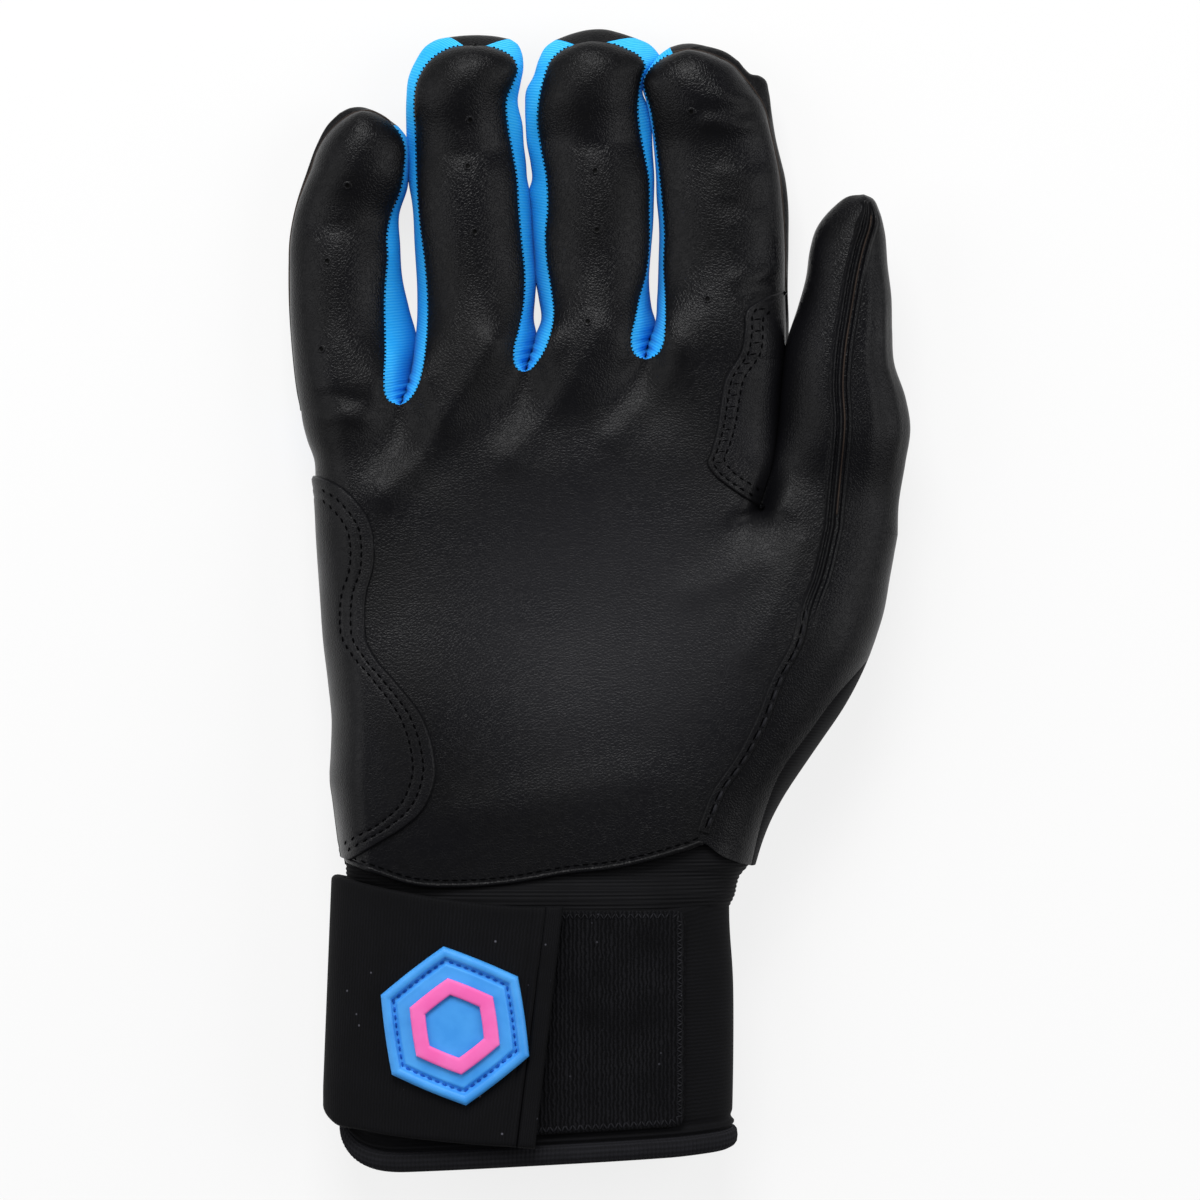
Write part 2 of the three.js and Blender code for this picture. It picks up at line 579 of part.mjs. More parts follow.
// A flat-lying patch over the cuff, between two distances off the sleeve
function cuffPatch(xs, ys, off, thickness) {
  const layer = (extra) => steps(ys.count).map((t) => steps(xs.count).map((s) => {
    const x = xs.at(s, t, extra);
    return point(x, ys.at(x, t), cuffTop(x, off(x) + extra));
  }));
  return sheet(layer(thickness), layer(0));
}
const flapTop = through(FLAP_TOP);
const flapBottom = through(FLAP_BOTTOM);
const flapEnd = through(FLAP_END);
const strapFold = (off) => cuffPoint(0, degToRad(STRAP_HINGE), off);
const strapLine = strapFold(SEAM + STRAP);
const closureLift = SEAM + LOOP_TAPE + SEAM + HOOK_TAPE + SEAM;
const flapLift = (x) => lerp(SEAM, closureLift, smoothstep(x, strapLine.x, HOOK_PAD.left));
const flapRow = { count: 5, at: (x, t) => lerp(flapBottom(x), flapTop(x), t) };
const flapMiddle = (t) => lerp(FLAP_END[0][0], FLAP_END[1][0], t);
const flapLength = {
  count: 9,
  at: (s, t, extra) => {
    const start = strapFold(SEAM + extra).x + SEAM;
    return lerp(start, flapEnd(flapMiddle(t)) - END_BINDING - SEAM, s);
  },
};
const bindingLength = { count: 2, at: (s, t) => flapEnd(flapMiddle(t)) - END_BINDING * (1 - s) };
const padPatch = (pad, off, thickness) => cuffPatch({ count: 8, at: (s) => lerp(pad.left, pad.right, s) }, {
  count: 3, at: (x, t) => lerp(pad.bottom + pad.rise * cuffShare(x), pad.top, t),
}, off, thickness);

// Fixed part of the strap: from the flap's fold round the little-finger side to the back
const strapWrap = [SEAM + STRAP, SEAM].map((off) => steps(3).map((t) => steps(18).map((s) => {
  const turn = degToRad(lerp(STRAP_HINGE, STRAP_BACK_END, s));
  const p = cuffPoint(0, turn, off);
  const low = flapBottom(strapLine.x);
  return p.setY(lerp(low, flapTop(strapLine.x), t));
})));

// Badge on the flap, and the raised ring of its emblem
function badgeRing(reach, off) {
  const { x, y, tilt, corners } = BADGE;
  const side = 4;
  return steps(corners * side).map((s) => {
    const place = s * corners;
    const [from, part] = [Math.floor(place), place % 1];
    const corner = (k) => degToRad(tilt + 90 + k * 360 / corners);
    const px = reach * lerp(cos(corner(from)), cos(corner(from + 1)), part);
    const py = reach * lerp(sin(corner(from)), sin(corner(from + 1)), part);
    return point(x + px, y + py, cuffTop(x + px, off));
  });
}
const badgeLift = closureLift + STRAP + SEAM;
const badge = [RUBBER, 0].map((up) => steps(3)
  .map((s) => badgeRing(BADGE.reach * s, badgeLift + up)));
const emblemLift = badgeLift + RUBBER + SEAM;
const emblem = [EMBLEM.height, 0].map((up) => steps(2)
  .map((s) => badgeRing(lerp(EMBLEM.inside, EMBLEM.outside, s), emblemLift + up)));

// Patches sewn on the palm
const heelEdge = through(HEEL_EDGE);
const heelRows = [HEEL_EDGE[0][0], HEEL_EDGE.at(-1)[0]];
const heelPatch = steps(12).map((t) => steps(7).map((s) => {
  const y = lerp(heelRows[0], heelRows[1], sin(t * PI / 2));
  const x = lerp(littleSide(y), heelEdge(y), 1 - cos(s * PI / 2));
  return point(x, y, palmZ(x, y));
}));
const indexEdge = through(INDEX_PATCH_EDGE);
const patchRows = (from, to, count, heightAt) => steps(count).map((t) => steps(4).map((s) => {
  const y = lerp(from, to, t);
  const x = lerp(indexEdge(y), indexSide(y) - PATCH_STOP, s);
  return point(x, y, heightAt(x, y));
}));

// Small web at each crotch, closing the space between palm and back
function crotchWeb(gap, aside, knuckle) {
  const y = knuckle - LEATHER;
  const middle = laneLines[gap](y) + aside;
  const across = steps(4).map((s) => middle + lerp(-WEB / 2, WEB / 2, s));
  const backZ = (x) => backPoint(...laneAt(x, laneEdges(y)), laneEdges(y), y).z;
  const low = max(...across.map(backZ)) + LEATHER + 2 * SEAM;
  const high = min(...across.map((x) => palmZ(x, y))) - LEATHER - 2 * SEAM;
  const layer = (depth) => steps(2).map((t) => across
    .map((x) => point(x, y - 0.2 * (x - middle) ** 2 - depth, lerp(low, high, t))));
  return sheet(layer(0), layer(GUSSET));
}

const FINISH = {
  leather: { color: '#1c1c1e', roughness: 0.55, metalness: 0 },
  patchLeather: { color: '#202022', roughness: 0.6, metalness: 0 },
  backCloth: { color: '#19191b', roughness: 0.8, metalness: 0 },
  stretch: { color: '#2f9bf0', roughness: 0.75, metalness: 0 },
  knit: { color: '#161617', roughness: 0.9, metalness: 0 },
  pile: { color: '#1a1a1b', roughness: 1, metalness: 0 },
  hook: { color: '#141415', roughness: 0.7, metalness: 0 },
  blueRubber: { color: '#2f8fe6', roughness: 0.5, metalness: 0 },
  pinkRubber: { color: '#ff6ebe', roughness: 0.5, metalness: 0 },
};

const little = makeFinger('little');
const ringFinger = makeFinger('ring');
const middle = makeFinger('middle');
const index = makeFinger('index');

function indexZ(x, y) {
  const finger = FINGERS.index;
  const left = gapMiddle.middle(y) + gapHalf.middle(y);
  const along = clamp(1 - 2 * (x - left) / (indexSide(y) - left), -1, 1);
  return lerp(sideZ(y), fingerTop(finger, x, y), sqrt(1 - along * along));
}

const palmGrid = handGrid(palmPoint, laneEdges, palmHem);
const backGrid = handGrid(backPoint, backEdges, () => BACK_HEM);
const bandRow = LOW_ROWS + HIGH_ROWS - 2;
const lowBack = (i, j) => inHand(i, j) && i < bandRow;
const band = backGrid.slice(bandRow);
const bandLow = band.map((row, i) => row.map((p) => (i ? p : p.clone().setY(p.y + SEAM))));
const knuckleLine = FINGERS.index.knuckle - SEAM;
const lowPatch = patchRows(INDEX_PATCH_EDGE[0][0] + SEAM, knuckleLine, 7, palmZ);
const highPatch = patchRows(knuckleLine + 2 * SEAM, INDEX_PATCH_EDGE.at(-1)[0], 4, indexZ);

const BODIES = {
  hand: {
    palm_panel: [skin(palmGrid, handCore, LEATHER, { keep: inHand }), 'leather'],
    back_panel: [skin(backGrid, handCore, LEATHER, { keep: lowBack }), 'backCloth'],
    knuckle_band: [skin(bandLow, handCore, LEATHER, { keep: (i, j) => j < THUMB_START }), 'stretch'],
    thumb_outer_base: [skin(thenarGrid, handCore, LEATHER), 'leather'],
    heel_patch: [overlay(heelPatch, handCore), 'patchLeather'],
    index_patch_palm: [overlay(lowPatch, handCore), 'patchLeather'],
    web_little_ring: [crotchWeb(0, 0, FINGERS.little.knuckle), 'stretch'],
    web_ring_middle: [crotchWeb(1, WEB + SEAM, FINGERS.middle.knuckle), 'stretch'],
    web_middle_index: [crotchWeb(2, 0, FINGERS.index.knuckle), 'stretch'],
    wrist_rib: [tube(ribLevels, -SLEEVE - SEAM, RIB), 'knit'],
    cuff_sleeve: [tube(sleeveLevels, 0, SLEEVE), 'knit'],
    cuff_hem: [tube(hemLevels, 0.7, HEM), 'knit'],
    loop_pad: [padPatch(LOOP_PAD, () => SEAM, LOOP_TAPE), 'pile'],
    strap_wrap: [sheet(...strapWrap), 'knit'],
  },
  little_finger: little.pieces,
  ring_finger: ringFinger.pieces,
  middle_finger: middle.pieces,
  index_finger: {
    ...index.pieces,
    index_patch_finger: [overlay(highPatch, index.core), 'patchLeather'],
  },
  thumb: {
    thumb_front: [skin(thumbGrid(thumbFrontRow, thumbFrontEnd), thumbCore, LEATHER), 'leather'],
    thumb_outer: [skin(thumbGrid(thumbBackRow, thumbEnd), thumbCore, LEATHER), 'leather'],
    thumb_welt: [sheet(...welt), 'leather'],
  },
  strap: {
    strap_flap: [cuffPatch(flapLength, flapRow, flapLift, STRAP), 'knit'],
    strap_end_binding: [cuffPatch(bindingLength, flapRow, () => closureLift, STRAP), 'knit'],
    hook_pad: [padPatch(HOOK_PAD, () => SEAM + LOOP_TAPE + SEAM, HOOK_TAPE), 'hook'],
    badge_base: [sheet(...badge, { round: true }), 'blueRubber'],
    badge_emblem: [sheet(...emblem, { round: true }), 'pinkRubber'],
  },
};

const glove = new THREE.Group();
glove.name = 'batting_glove';
for (const [bodyName, pieces] of Object.entries(BODIES)) {
  const body = new THREE.Group();
  body.name = bodyName;
  for (const [name, [geometry, finish]] of Object.entries(pieces)) {
    const material = new THREE.MeshStandardMaterial({ name: finish, ...FINISH[finish] });
    const mesh = new THREE.Mesh(geometry, material);
    mesh.name = name;
    body.add(mesh);
  }
  glove.add(body);
}

export default glove;
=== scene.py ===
# %% [markdown]
# # A batting glove, sewn together in Blender
# The glove lies on its back with the palm up: X runs to the thumb side, Y to the fingertips and Z out of
# the palm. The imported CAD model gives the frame, so every piece here is made where the solid of the same
# name is. Lengths are thought of in millimetres and become metres only when a mesh is written.

# %% Frame
import math
import bpy
import numpy as np
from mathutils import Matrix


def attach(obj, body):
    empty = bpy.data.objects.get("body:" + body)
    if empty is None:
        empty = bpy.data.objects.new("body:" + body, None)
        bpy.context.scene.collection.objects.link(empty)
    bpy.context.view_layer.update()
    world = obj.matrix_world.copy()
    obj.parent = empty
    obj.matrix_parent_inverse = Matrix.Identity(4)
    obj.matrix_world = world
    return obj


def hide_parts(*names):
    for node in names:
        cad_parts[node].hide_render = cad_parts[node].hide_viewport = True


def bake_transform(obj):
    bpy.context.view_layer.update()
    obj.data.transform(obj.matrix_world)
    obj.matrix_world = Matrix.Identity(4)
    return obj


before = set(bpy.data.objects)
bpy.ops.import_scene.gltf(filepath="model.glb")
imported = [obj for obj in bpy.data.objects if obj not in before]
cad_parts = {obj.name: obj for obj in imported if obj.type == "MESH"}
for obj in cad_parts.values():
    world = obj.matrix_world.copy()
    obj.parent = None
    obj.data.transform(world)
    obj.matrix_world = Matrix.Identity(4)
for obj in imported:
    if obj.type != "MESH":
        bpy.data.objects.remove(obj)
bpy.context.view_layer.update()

# %% [markdown]
# ## Materials
# Each material is a small node tree on a Principled shader. One helper adds a node, sets it and links it,
# so a material reads from top to bottom like a recipe. Colours are written as on a screen and turned to
# linear light.

# %% Node helper
def linear(code):
    """A screen colour such as '#1c1c1e' as linear red, green, blue and alpha."""
    parts = [int(code[i:i + 2], 16) / 255 for i in (1, 3, 5)]
    return [p / 12.92 if p <= 0.04045 else ((p + 0.055) / 1.055) ** 2.4 for p in parts] + [1]


def add(material, kind, inputs={}, **settings):
    """Adds a node. Each input is a plain value or the output of another node."""
    tree = material.node_tree
    node = tree.nodes.new("ShaderNode" + kind)
    for name, value in settings.items():
        setattr(node, name, value)
    for name, value in inputs.items():
        if isinstance(value, bpy.types.NodeSocket):
            tree.links.new(value, node.inputs[name])
        else:
            node.inputs[name].default_value = value
    return node


def new_material(name, **shader_values):
    """A material with a Principled shader, whose constants are set on its own sockets."""
    material = bpy.data.materials.new(name)
    material.use_nodes = True
    shader = material.node_tree.nodes["Principled BSDF"]
    for socket, value in shader_values.items():
        shader.inputs[socket.replace("_", " ")].default_value = value
    return material, shader


def feed(material, shader, **links):
    """Links node outputs to the shader's sockets."""
    for socket, output in links.items():
        material.node_tree.links.new(output, shader.inputs[socket.replace("_", " ")])


def two_tones(material, factor, dark, light, low=0.35, high=0.65):
    """A colour that runs from dark to light as the factor goes from low to high."""
    share = add(material, "MapRange", {"Value": factor, "From Min": low, "From Max": high}).outputs["Result"]
    mixed = add(material, "Mix", {"Factor": share, "A": linear(dark), "B": linear(light)}, data_type="RGBA")
    return mixed.outputs[2]

# %% [markdown]
# Glove leather is thin and soft. Its eye-catcher is the pebble grain: low cells under a millimetre across,
# which break a highlight into specks. The grain is a Voronoi pattern in object space, so it runs on across
# a seam as it does on a cut hide, and a slow cloud makes some places a little greyer and shinier than
# others.

# %% Leathers
CLOUD = 16  # size of a greyer place in millimetres
# Middle and reach of the painted highlight on the palm.
HIGHLIGHT_MIDDLE, HIGHLIGHT_NEAR, HIGHLIGHT_FAR = (0.0, -0.004, 0.025), 0.012, 0.054  # in metres, as the nodes measure
FINGERS_FROM, FINGERS_FULL = 0.045, 0.07  # Y over which the leather becomes that of the fingers, in metres


def leather(name, dark, light, grain, depth, rough, painted_highlight=None):
    """Grained leather: grain is the size of a cell in millimetres, depth the height of the grain. A painted
    highlight, given as a paler colour, greys the middle of the palm, and the stretched fingers are then a
    little smoother."""
    material, shader = new_material(name, Specular_IOR_Level=0.14)
    place = add(material, "TexCoord").outputs["Object"]
    wander = add(material, "TexNoise", {"Vector": place, "Scale": 1000 / (grain * 2.5)})
    bent = add(material, "MixRGB", {"Fac": 0.0006, "Color1": place, "Color2": wander.outputs["Color"]})
    cells = add(material, "TexVoronoi", {"Vector": bent.outputs["Color"], "Scale": 1000 / grain},
                feature="DISTANCE_TO_EDGE")
    pebble = add(material, "MapRange", {"Value": cells.outputs["Distance"], "From Max": 0.28},
                 interpolation_type="SMOOTHSTEP")
    pores = add(material, "TexNoise", {"Vector": place, "Scale": 1000 / (grain * 0.45), "Detail": 2.0})
    cloud = add(material, "TexNoise", {"Vector": place, "Scale": 1000 / CLOUD, "Detail": 3.0})
    shade = add(material, "MapRange", {"Value": cloud.outputs["Fac"], "From Min": 0.3, "From Max": 0.7,
                                       "To Min": rough + 0.07, "To Max": rough - 0.05})
    low = add(material, "Bump", {"Height": pebble.outputs["Result"], "Strength": 0.6,
                                 "Distance": depth / 1000})
    fine = add(material, "Bump", {"Height": pores.outputs["Fac"], "Strength": 0.2, "Distance": depth / 3000,
                                  "Normal": low.outputs["Normal"]})
    colour, roughness = two_tones(material, cloud.outputs["Fac"], dark, light), shade.outputs["Result"]
    # Painted highlight: the colour turns paler grey towards the middle of the palm.
    if painted_highlight:
        away = add(material, "VectorMath", {0: place, 1: HIGHLIGHT_MIDDLE}, operation="DISTANCE")
        highlight_share = add(material, "MapRange", {"Value": away.outputs["Value"], "From Min": HIGHLIGHT_NEAR,
                                          "From Max": HIGHLIGHT_FAR, "To Min": 1.0, "To Max": 0.0},
                   interpolation_type="SMOOTHSTEP")
        colour = add(material, "Mix", {"Factor": highlight_share.outputs["Result"], "A": colour, "B": linear(painted_highlight)},
                     data_type="RGBA").outputs[2]
        height = add(material, "SeparateXYZ", {"Vector": place}).outputs["Y"]
        stretched = add(material, "MapRange", {"Value": height, "From Min": FINGERS_FROM,
                                               "From Max": FINGERS_FULL, "To Min": 0.0, "To Max": -0.03})
        roughness = add(material, "Math", {0: roughness, 1: stretched.outputs["Result"]}).outputs["Value"]
    feed(material, shader, Base_Color=colour, Roughness=roughness, Normal=fine.outputs["Normal"])
    return material


# Soft sheepskin: fine grain and a low satin gloss, with a painted highlight that greys the middle of the
# palm.
PALM_LEATHER = leather("black_palm_leather", "#09090b", "#0d0d10", grain=0.68, depth=0.068, rough=0.34,
                       painted_highlight="#1d1d20")
# Firmer hide: the same grain, but paler and a little duller.
PATCH_LEATHER = leather("black_patch_leather", "#0d0d0f", "#121215", grain=0.68, depth=0.065, rough=0.36)
# Coated synthetic: an even, coarser grain and less gloss.
BACK_LEATHER = leather("black_synthetic_back", "#09090b", "#0d0d0f", grain=0.75, depth=0.07, rough=0.38)
print("leathers:", PALM_LEATHER.name, PATCH_LEATHER.name, BACK_LEATHER.name)

# %% [markdown]
# The gussets between the fingers are a bright blue stretch knit. Its ribs are half a millimetre apart; they
# are drawn at 0.65 mm, because a finer line than a picture's pixel only flickers. They follow the UV map,
# whose unit is a millimetre, so they cross each strip squarely. A little sheen gives the soft edge of a
# fabric. The cuff, the strap and the pads are black knits of other counts.

# %% Knits
WAVE = 0.314  # distance of two bands of a Wave texture whose scale is 1
THREAD, FADED, DUST = 0.5, 9, 4.5  # sizes of a thread, of a paler place and between specks, in millimetres
# The painted shade on the blue strips is full below the first height and gone above the second.
DEEP_Z, PALE_Z = 0.009, 0.017  # heights between which the blue strips turn pale, in metres
TIP_FROM, TIP_FULL = 0.098, 0.112  # Y over which they turn pale towards a fingertip, in metres


def knit(name, dark, light, rib, depth, fuzz=0.25, rough=0.8, wobble=0.6, deep=None, tuft=0.3, lint=None):
    """A ribbed knit: rib is the distance of two ribs in millimetres, wobble how uneven they run, tuft how far
    single threads stand out, deep the colour of a painted shade low down between the fingers, which fades out
    higher up and towards a fingertip, and lint the colour of specks of dust."""
    material, shader = new_material(name, Specular_IOR_Level=0.1, Sheen_Weight=fuzz, Sheen_Roughness=0.4,
                                    Roughness=rough)
    place = add(material, "TexCoord")
    ribs = add(material, "TexWave", {"Vector": place.outputs["UV"], "Scale": WAVE / rib, "Distortion": wobble,
                                     "Detail": 1.0, "Detail Scale": 2.0}, bands_direction="Y")
    here = place.outputs["Object"]
    threads = add(material, "TexNoise", {"Vector": here, "Scale": 1000 / THREAD, "Detail": 2.0})
    cloud = add(material, "TexNoise", {"Vector": here, "Scale": 1000 / FADED, "Detail": 2.0})
    low = add(material, "Bump", {"Height": ribs.outputs["Fac"], "Strength": 0.6, "Distance": depth / 1000})
    fine = add(material, "Bump", {"Height": threads.outputs["Fac"], "Strength": tuft,
                                  "Distance": depth / 1500, "Normal": low.outputs["Normal"]})
    blend = add(material, "Math", {0: ribs.outputs["Fac"], 1: cloud.outputs["Fac"]}, operation="MULTIPLY")
    colour = two_tones(material, blend.outputs["Value"], dark, light, 0.1, 0.55)
    if deep:
        # Painted shade: the deep colour low down, fading out higher up and towards a fingertip.
        axes = add(material, "SeparateXYZ", {"Vector": here}).outputs
        high = add(material, "MapRange", {"Value": axes["Z"], "From Min": DEEP_Z, "From Max": PALE_Z})
        tip = add(material, "MapRange", {"Value": axes["Y"], "From Min": TIP_FROM, "From Max": TIP_FULL})
        pale = add(material, "Math", {0: high.outputs["Result"], 1: tip.outputs["Result"]},
                   operation="MAXIMUM")
        colour = add(material, "Mix", {"Factor": pale.outputs["Value"], "A": linear(deep), "B": colour},
                     data_type="RGBA").outputs[2]
    if lint:
        dust = add(material, "TexVoronoi", {"Vector": here, "Scale": 1000 / DUST})
        speck = add(material, "MapRange", {"Value": dust.outputs["Distance"], "From Min": 0.03,
                                           "From Max": 0.07, "To Min": 1.0, "To Max": 0.0})
        colour = add(material, "Mix", {"Factor": speck.outputs["Result"], "A": colour, "B": linear(lint)},
                     data_type="RGBA").outputs[2]
    feed(material, shader, Base_Color=colour, Normal=fine.outputs["Normal"])
    return material


# Stretch knit: bright and matt, with a painted shade in a deeper blue low down between the fingers.
BLUE_KNIT = knit("blue_stretch_knit", "#26adf4", "#51cbff", rib=0.65, depth=0.04, fuzz=0.04, wobble=1.2,
                 deep="#0f7ccc")
# Elastic rib: even lines and hardly any gloss.
RIB_KNIT = knit("black_wrist_rib", "#0c0c0e", "#161618", rib=0.8, depth=0.05, fuzz=0.03)
# Woven webbing: uneven threads that catch single specks of lint.
STRAP_KNIT = knit("black_strap_webbing", "#0a0a0c", "#101013", rib=0.7, depth=0.05, fuzz=0.0, wobble=3.0,
                  tuft=0.8, lint="#5a5a62")
# Knit over foam: matt, with soft and uneven lines.
SLEEVE_KNIT = knit("black_cuff_knit", "#09090b", "#0f0f12", rib=0.8, depth=0.05, fuzz=0.0, wobble=2.0,
                   tuft=0.8)
# Folded tape: paler than the sleeve, because its ribs stand up to the light.
BINDING_KNIT = knit("black_hem_binding", "#17171a", "#212125", rib=0.9, depth=0.06, fuzz=0.0)
# Brushed loops: rough and dull, with dust between them.
LOOP_PILE = knit("black_loop_pile", "#070709", "#17171a", rib=0.95, depth=0.3, fuzz=0.02, rough=0.95,
                 wobble=3.5, tuft=1.0, lint="#3a3a40")
# Nylon hooks on a tape: coarse rows with a little gloss.
HOOK_TAPE = knit("black_hook_tape", "#0c0c0e", "#17171a", rib=1.2, depth=0.3, fuzz=0.03, rough=0.6)
print("knits:", BLUE_KNIT.name, "and", RIB_KNIT.name)

# %% [markdown]
# The badge is moulded rubber: a smooth, slightly waxy surface with a fine matt texture and soft highlights
# on its rounded edges. Sewing thread and cut leather edges are so small that the same matt recipe in their
# own colours is all that the eye can see of them. The same recipe, nearly black, is painted shade for the
# inside of a punched hole.

# %% Rubbers
MOTTLE, MATT = 6, 0.5  # sizes of an uneven place and of the matt texture, in millimetres


def rubber(name, dark, light, gloss=0.35):
    """Moulded rubber, or a thread or a cut edge in the same matt finish: gloss is its specular level."""
    material, shader = new_material(name, Specular_IOR_Level=gloss)
    place = add(material, "TexCoord").outputs["Object"]
    cloud = add(material, "TexNoise", {"Vector": place, "Scale": 1000 / MOTTLE, "Detail": 4.0})
    grain = add(material, "TexNoise", {"Vector": place, "Scale": 1000 / MATT, "Detail": 2.0})
    shade = add(material, "MapRange", {"Value": cloud.outputs["Fac"], "To Min": 0.42, "To Max": 0.6})
    bump = add(material, "Bump", {"Height": grain.outputs["Fac"], "Strength": 0.2, "Distance": 0.00006})
    feed(material, shader, Base_Color=two_tones(material, cloud.outputs["Fac"], dark, light),
         Roughness=shade.outputs["Result"], Normal=bump.outputs["Normal"])
    return material


# Moulded rubber keeps the full colour. Threads and cut edges are nearly without gloss.
BLUE_RUBBER = rubber("blue_moulded_rubber", "#3c98ec", "#4aa6f6")
PINK_RUBBER = rubber("pink_moulded_rubber", "#fb68ba", "#ff78c6")
BLACK_THREAD = rubber("black_sewing_thread", "#030304", "#060607", gloss=0.01)
GREY_THREAD = rubber("grey_edge_thread", "#17171a", "#222226", gloss=0.1)
BLUE_THREAD = rubber("deep_blue_thread", "#0b4aa8", "#1560c4", gloss=0.2)
RAW_EDGE = rubber("raw_leather_edge", "#2a221e", "#3b312b", gloss=0.1)
# Painted shade: the near-black middle of a vent hole stands for the shade inside the hole.
HOLE_SHADE = rubber("painted_hole_shade", "#020202", "#050505", gloss=0.05)
print("rubbers:", BLUE_RUBBER.name, PINK_RUBBER.name, "and threads in the same matt finish")

# %% [markdown]
# ## Lines and sheets
# A glove is cut from flat leather and sewn along its edges, so its shape is known once the seams are known.
# Every panel here starts as Blender's plain grid. Its points are carried to their place by a rule that
# takes how far across and how far along the panel they lie, from 0 to 1. Solidify then gives the panel its
# thickness inwards.

# %% Sheet helper
def smooth(value, low, high):
    """A soft step from 0 at low to 1 at high."""
    share = np.clip((value - low) / (high - low), 0, 1)
    return share * share * (3 - 2 * share)


def gentle(value, low, high):
    """A step that starts and ends without any bend, for leather that should show no line there."""
    share = np.clip((value - low) / (high - low), 0, 1)
    return share ** 3 * (10 - 15 * share + 6 * share ** 2)


def mix(a, b, share):
    """From a at share 0 to b at share 1."""
    return a + (b - a) * share


def hermite(knots, values, place):
    """A smooth curve through values at knots, which keeps its first and last value beyond them."""
    slopes = np.gradient(values, knots, axis=0)
    place = np.clip(place, knots[0], knots[-1])
    i = np.clip(np.searchsorted(knots, place, side="right") - 1, 0, len(knots) - 2)
    span = knots[i + 1] - knots[i]
    s = (place - knots[i]) / span
    if values.ndim > 1:
        s, span = s[..., None], span[..., None]
    bow = span * s * (1 - s) * ((1 - s) * slopes[i] - s * slopes[i + 1])
    return mix(values[i], values[i + 1], s * s * (3 - 2 * s)) + bow


def through(*pairs):
    """A value that depends on a place, through (place, value) pairs."""
    place, value = np.array(pairs, float).T
    return lambda at: hermite(place, value, np.asarray(at, float))


def run_length(points):
    """Length of a chain of points up to each of them."""
    return np.append(0, np.cumsum(np.linalg.norm(np.diff(points, axis=0), axis=1)))


def line(*points):
    """A smooth line through points, asked for by the share of its length."""
    points = np.array(points, float)
    knots = run_length(points)
    return lambda share: hermite(knots / knots[-1], points, np.asarray(share, float))


def stack(*columns):
    """Columns of numbers side by side, as places."""
    return np.stack(np.broadcast_arrays(*columns), axis=-1)


def on(xy, z):
    """Flat places lifted to a height."""
    return stack(xy[:, 0], xy[:, 1], z)


def only(piece):
    """Selects one object and makes it active, for the operators that follow."""
    bpy.ops.object.select_all(action="DESELECT")
    piece.select_set(True)
    bpy.context.view_layer.objects.active = piece


def carry(piece, place):
    """Carries the grid's points to place(across, along), and gives its UV map the same unit, millimetres."""
    mesh = piece.data
    flat = np.empty(len(mesh.vertices) * 3)
    mesh.vertices.foreach_get("co", flat)
    across, along = (flat[0::3] + 1) / 2, (flat[1::3] + 1) / 2
    mesh.vertices.foreach_set("co", (place(across, along) / 1000).ravel())
    steps = np.linspace(0, 1, 120)
    middle = np.full(len(steps), 0.5)
    size = [run_length(row)[-1] for row in (place(steps, middle), place(middle, steps))]
    uv = np.empty(len(mesh.loops) * 2)
    mesh.uv_layers[0].data.foreach_get("uv", uv)
    mesh.uv_layers[0].data.foreach_set("uv", (uv.reshape(-1, 2) * size).ravel())
    mesh.update()


def thicken(piece, thickness):
    """Solidify inwards, applied."""
    only(piece)
    solid = piece.modifiers.new("thickness", "SOLIDIFY")
    solid.thickness = thickness / 1000
    solid.offset = -1
    bpy.ops.object.modifier_apply(modifier=solid.name)


def panel(name, columns, rows, place, material, thickness=1.0, drop=None, join=False):
    """A sewn panel. drop(across, along) says which points are cut away; join closes a ring at its ends."""
    bpy.ops.object.select_all(action="DESELECT")
    bpy.ops.mesh.primitive_grid_add(x_subdivisions=columns, y_subdivisions=rows, size=2)
    piece = bpy.context.object
    piece.name = piece.data.name = name
    if drop:
        places = np.array([v.co[:2] for v in piece.data.vertices])
        cut = drop((places[:, 0] + 1) / 2, (places[:, 1] + 1) / 2)
        bpy.ops.object.mode_set(mode="EDIT")
        bpy.ops.mesh.select_mode(type="VERT")
        bpy.ops.mesh.select_all(action="DESELECT")
        bpy.ops.object.mode_set(mode="OBJECT")
        piece.data.vertices.foreach_set("select", cut)
        bpy.ops.object.mode_set(mode="EDIT")
        bpy.ops.mesh.delete(type="VERT")
        bpy.ops.object.mode_set(mode="OBJECT")
    carry(piece, place)
    if join:
        bpy.ops.object.mode_set(mode="EDIT")
        bpy.ops.mesh.select_all(action="SELECT")
        bpy.ops.mesh.remove_doubles(threshold=1e-6)
        bpy.ops.object.mode_set(mode="OBJECT")
    if thickness:
        thicken(piece, thickness)
    bpy.ops.object.shade_smooth_by_angle(angle=math.radians(50))
    piece.data.materials.append(material)
    return piece

# %% [markdown]
# ## The shape of the hand
# The palm has a pad under the thumb, a smaller one at the heel of the hand and a hollow between them. The
# lines between the fingers run down from the crotches to the wrist; they only organise the rows of the
# mesh. Towards a crotch the leather dips between two fingers.

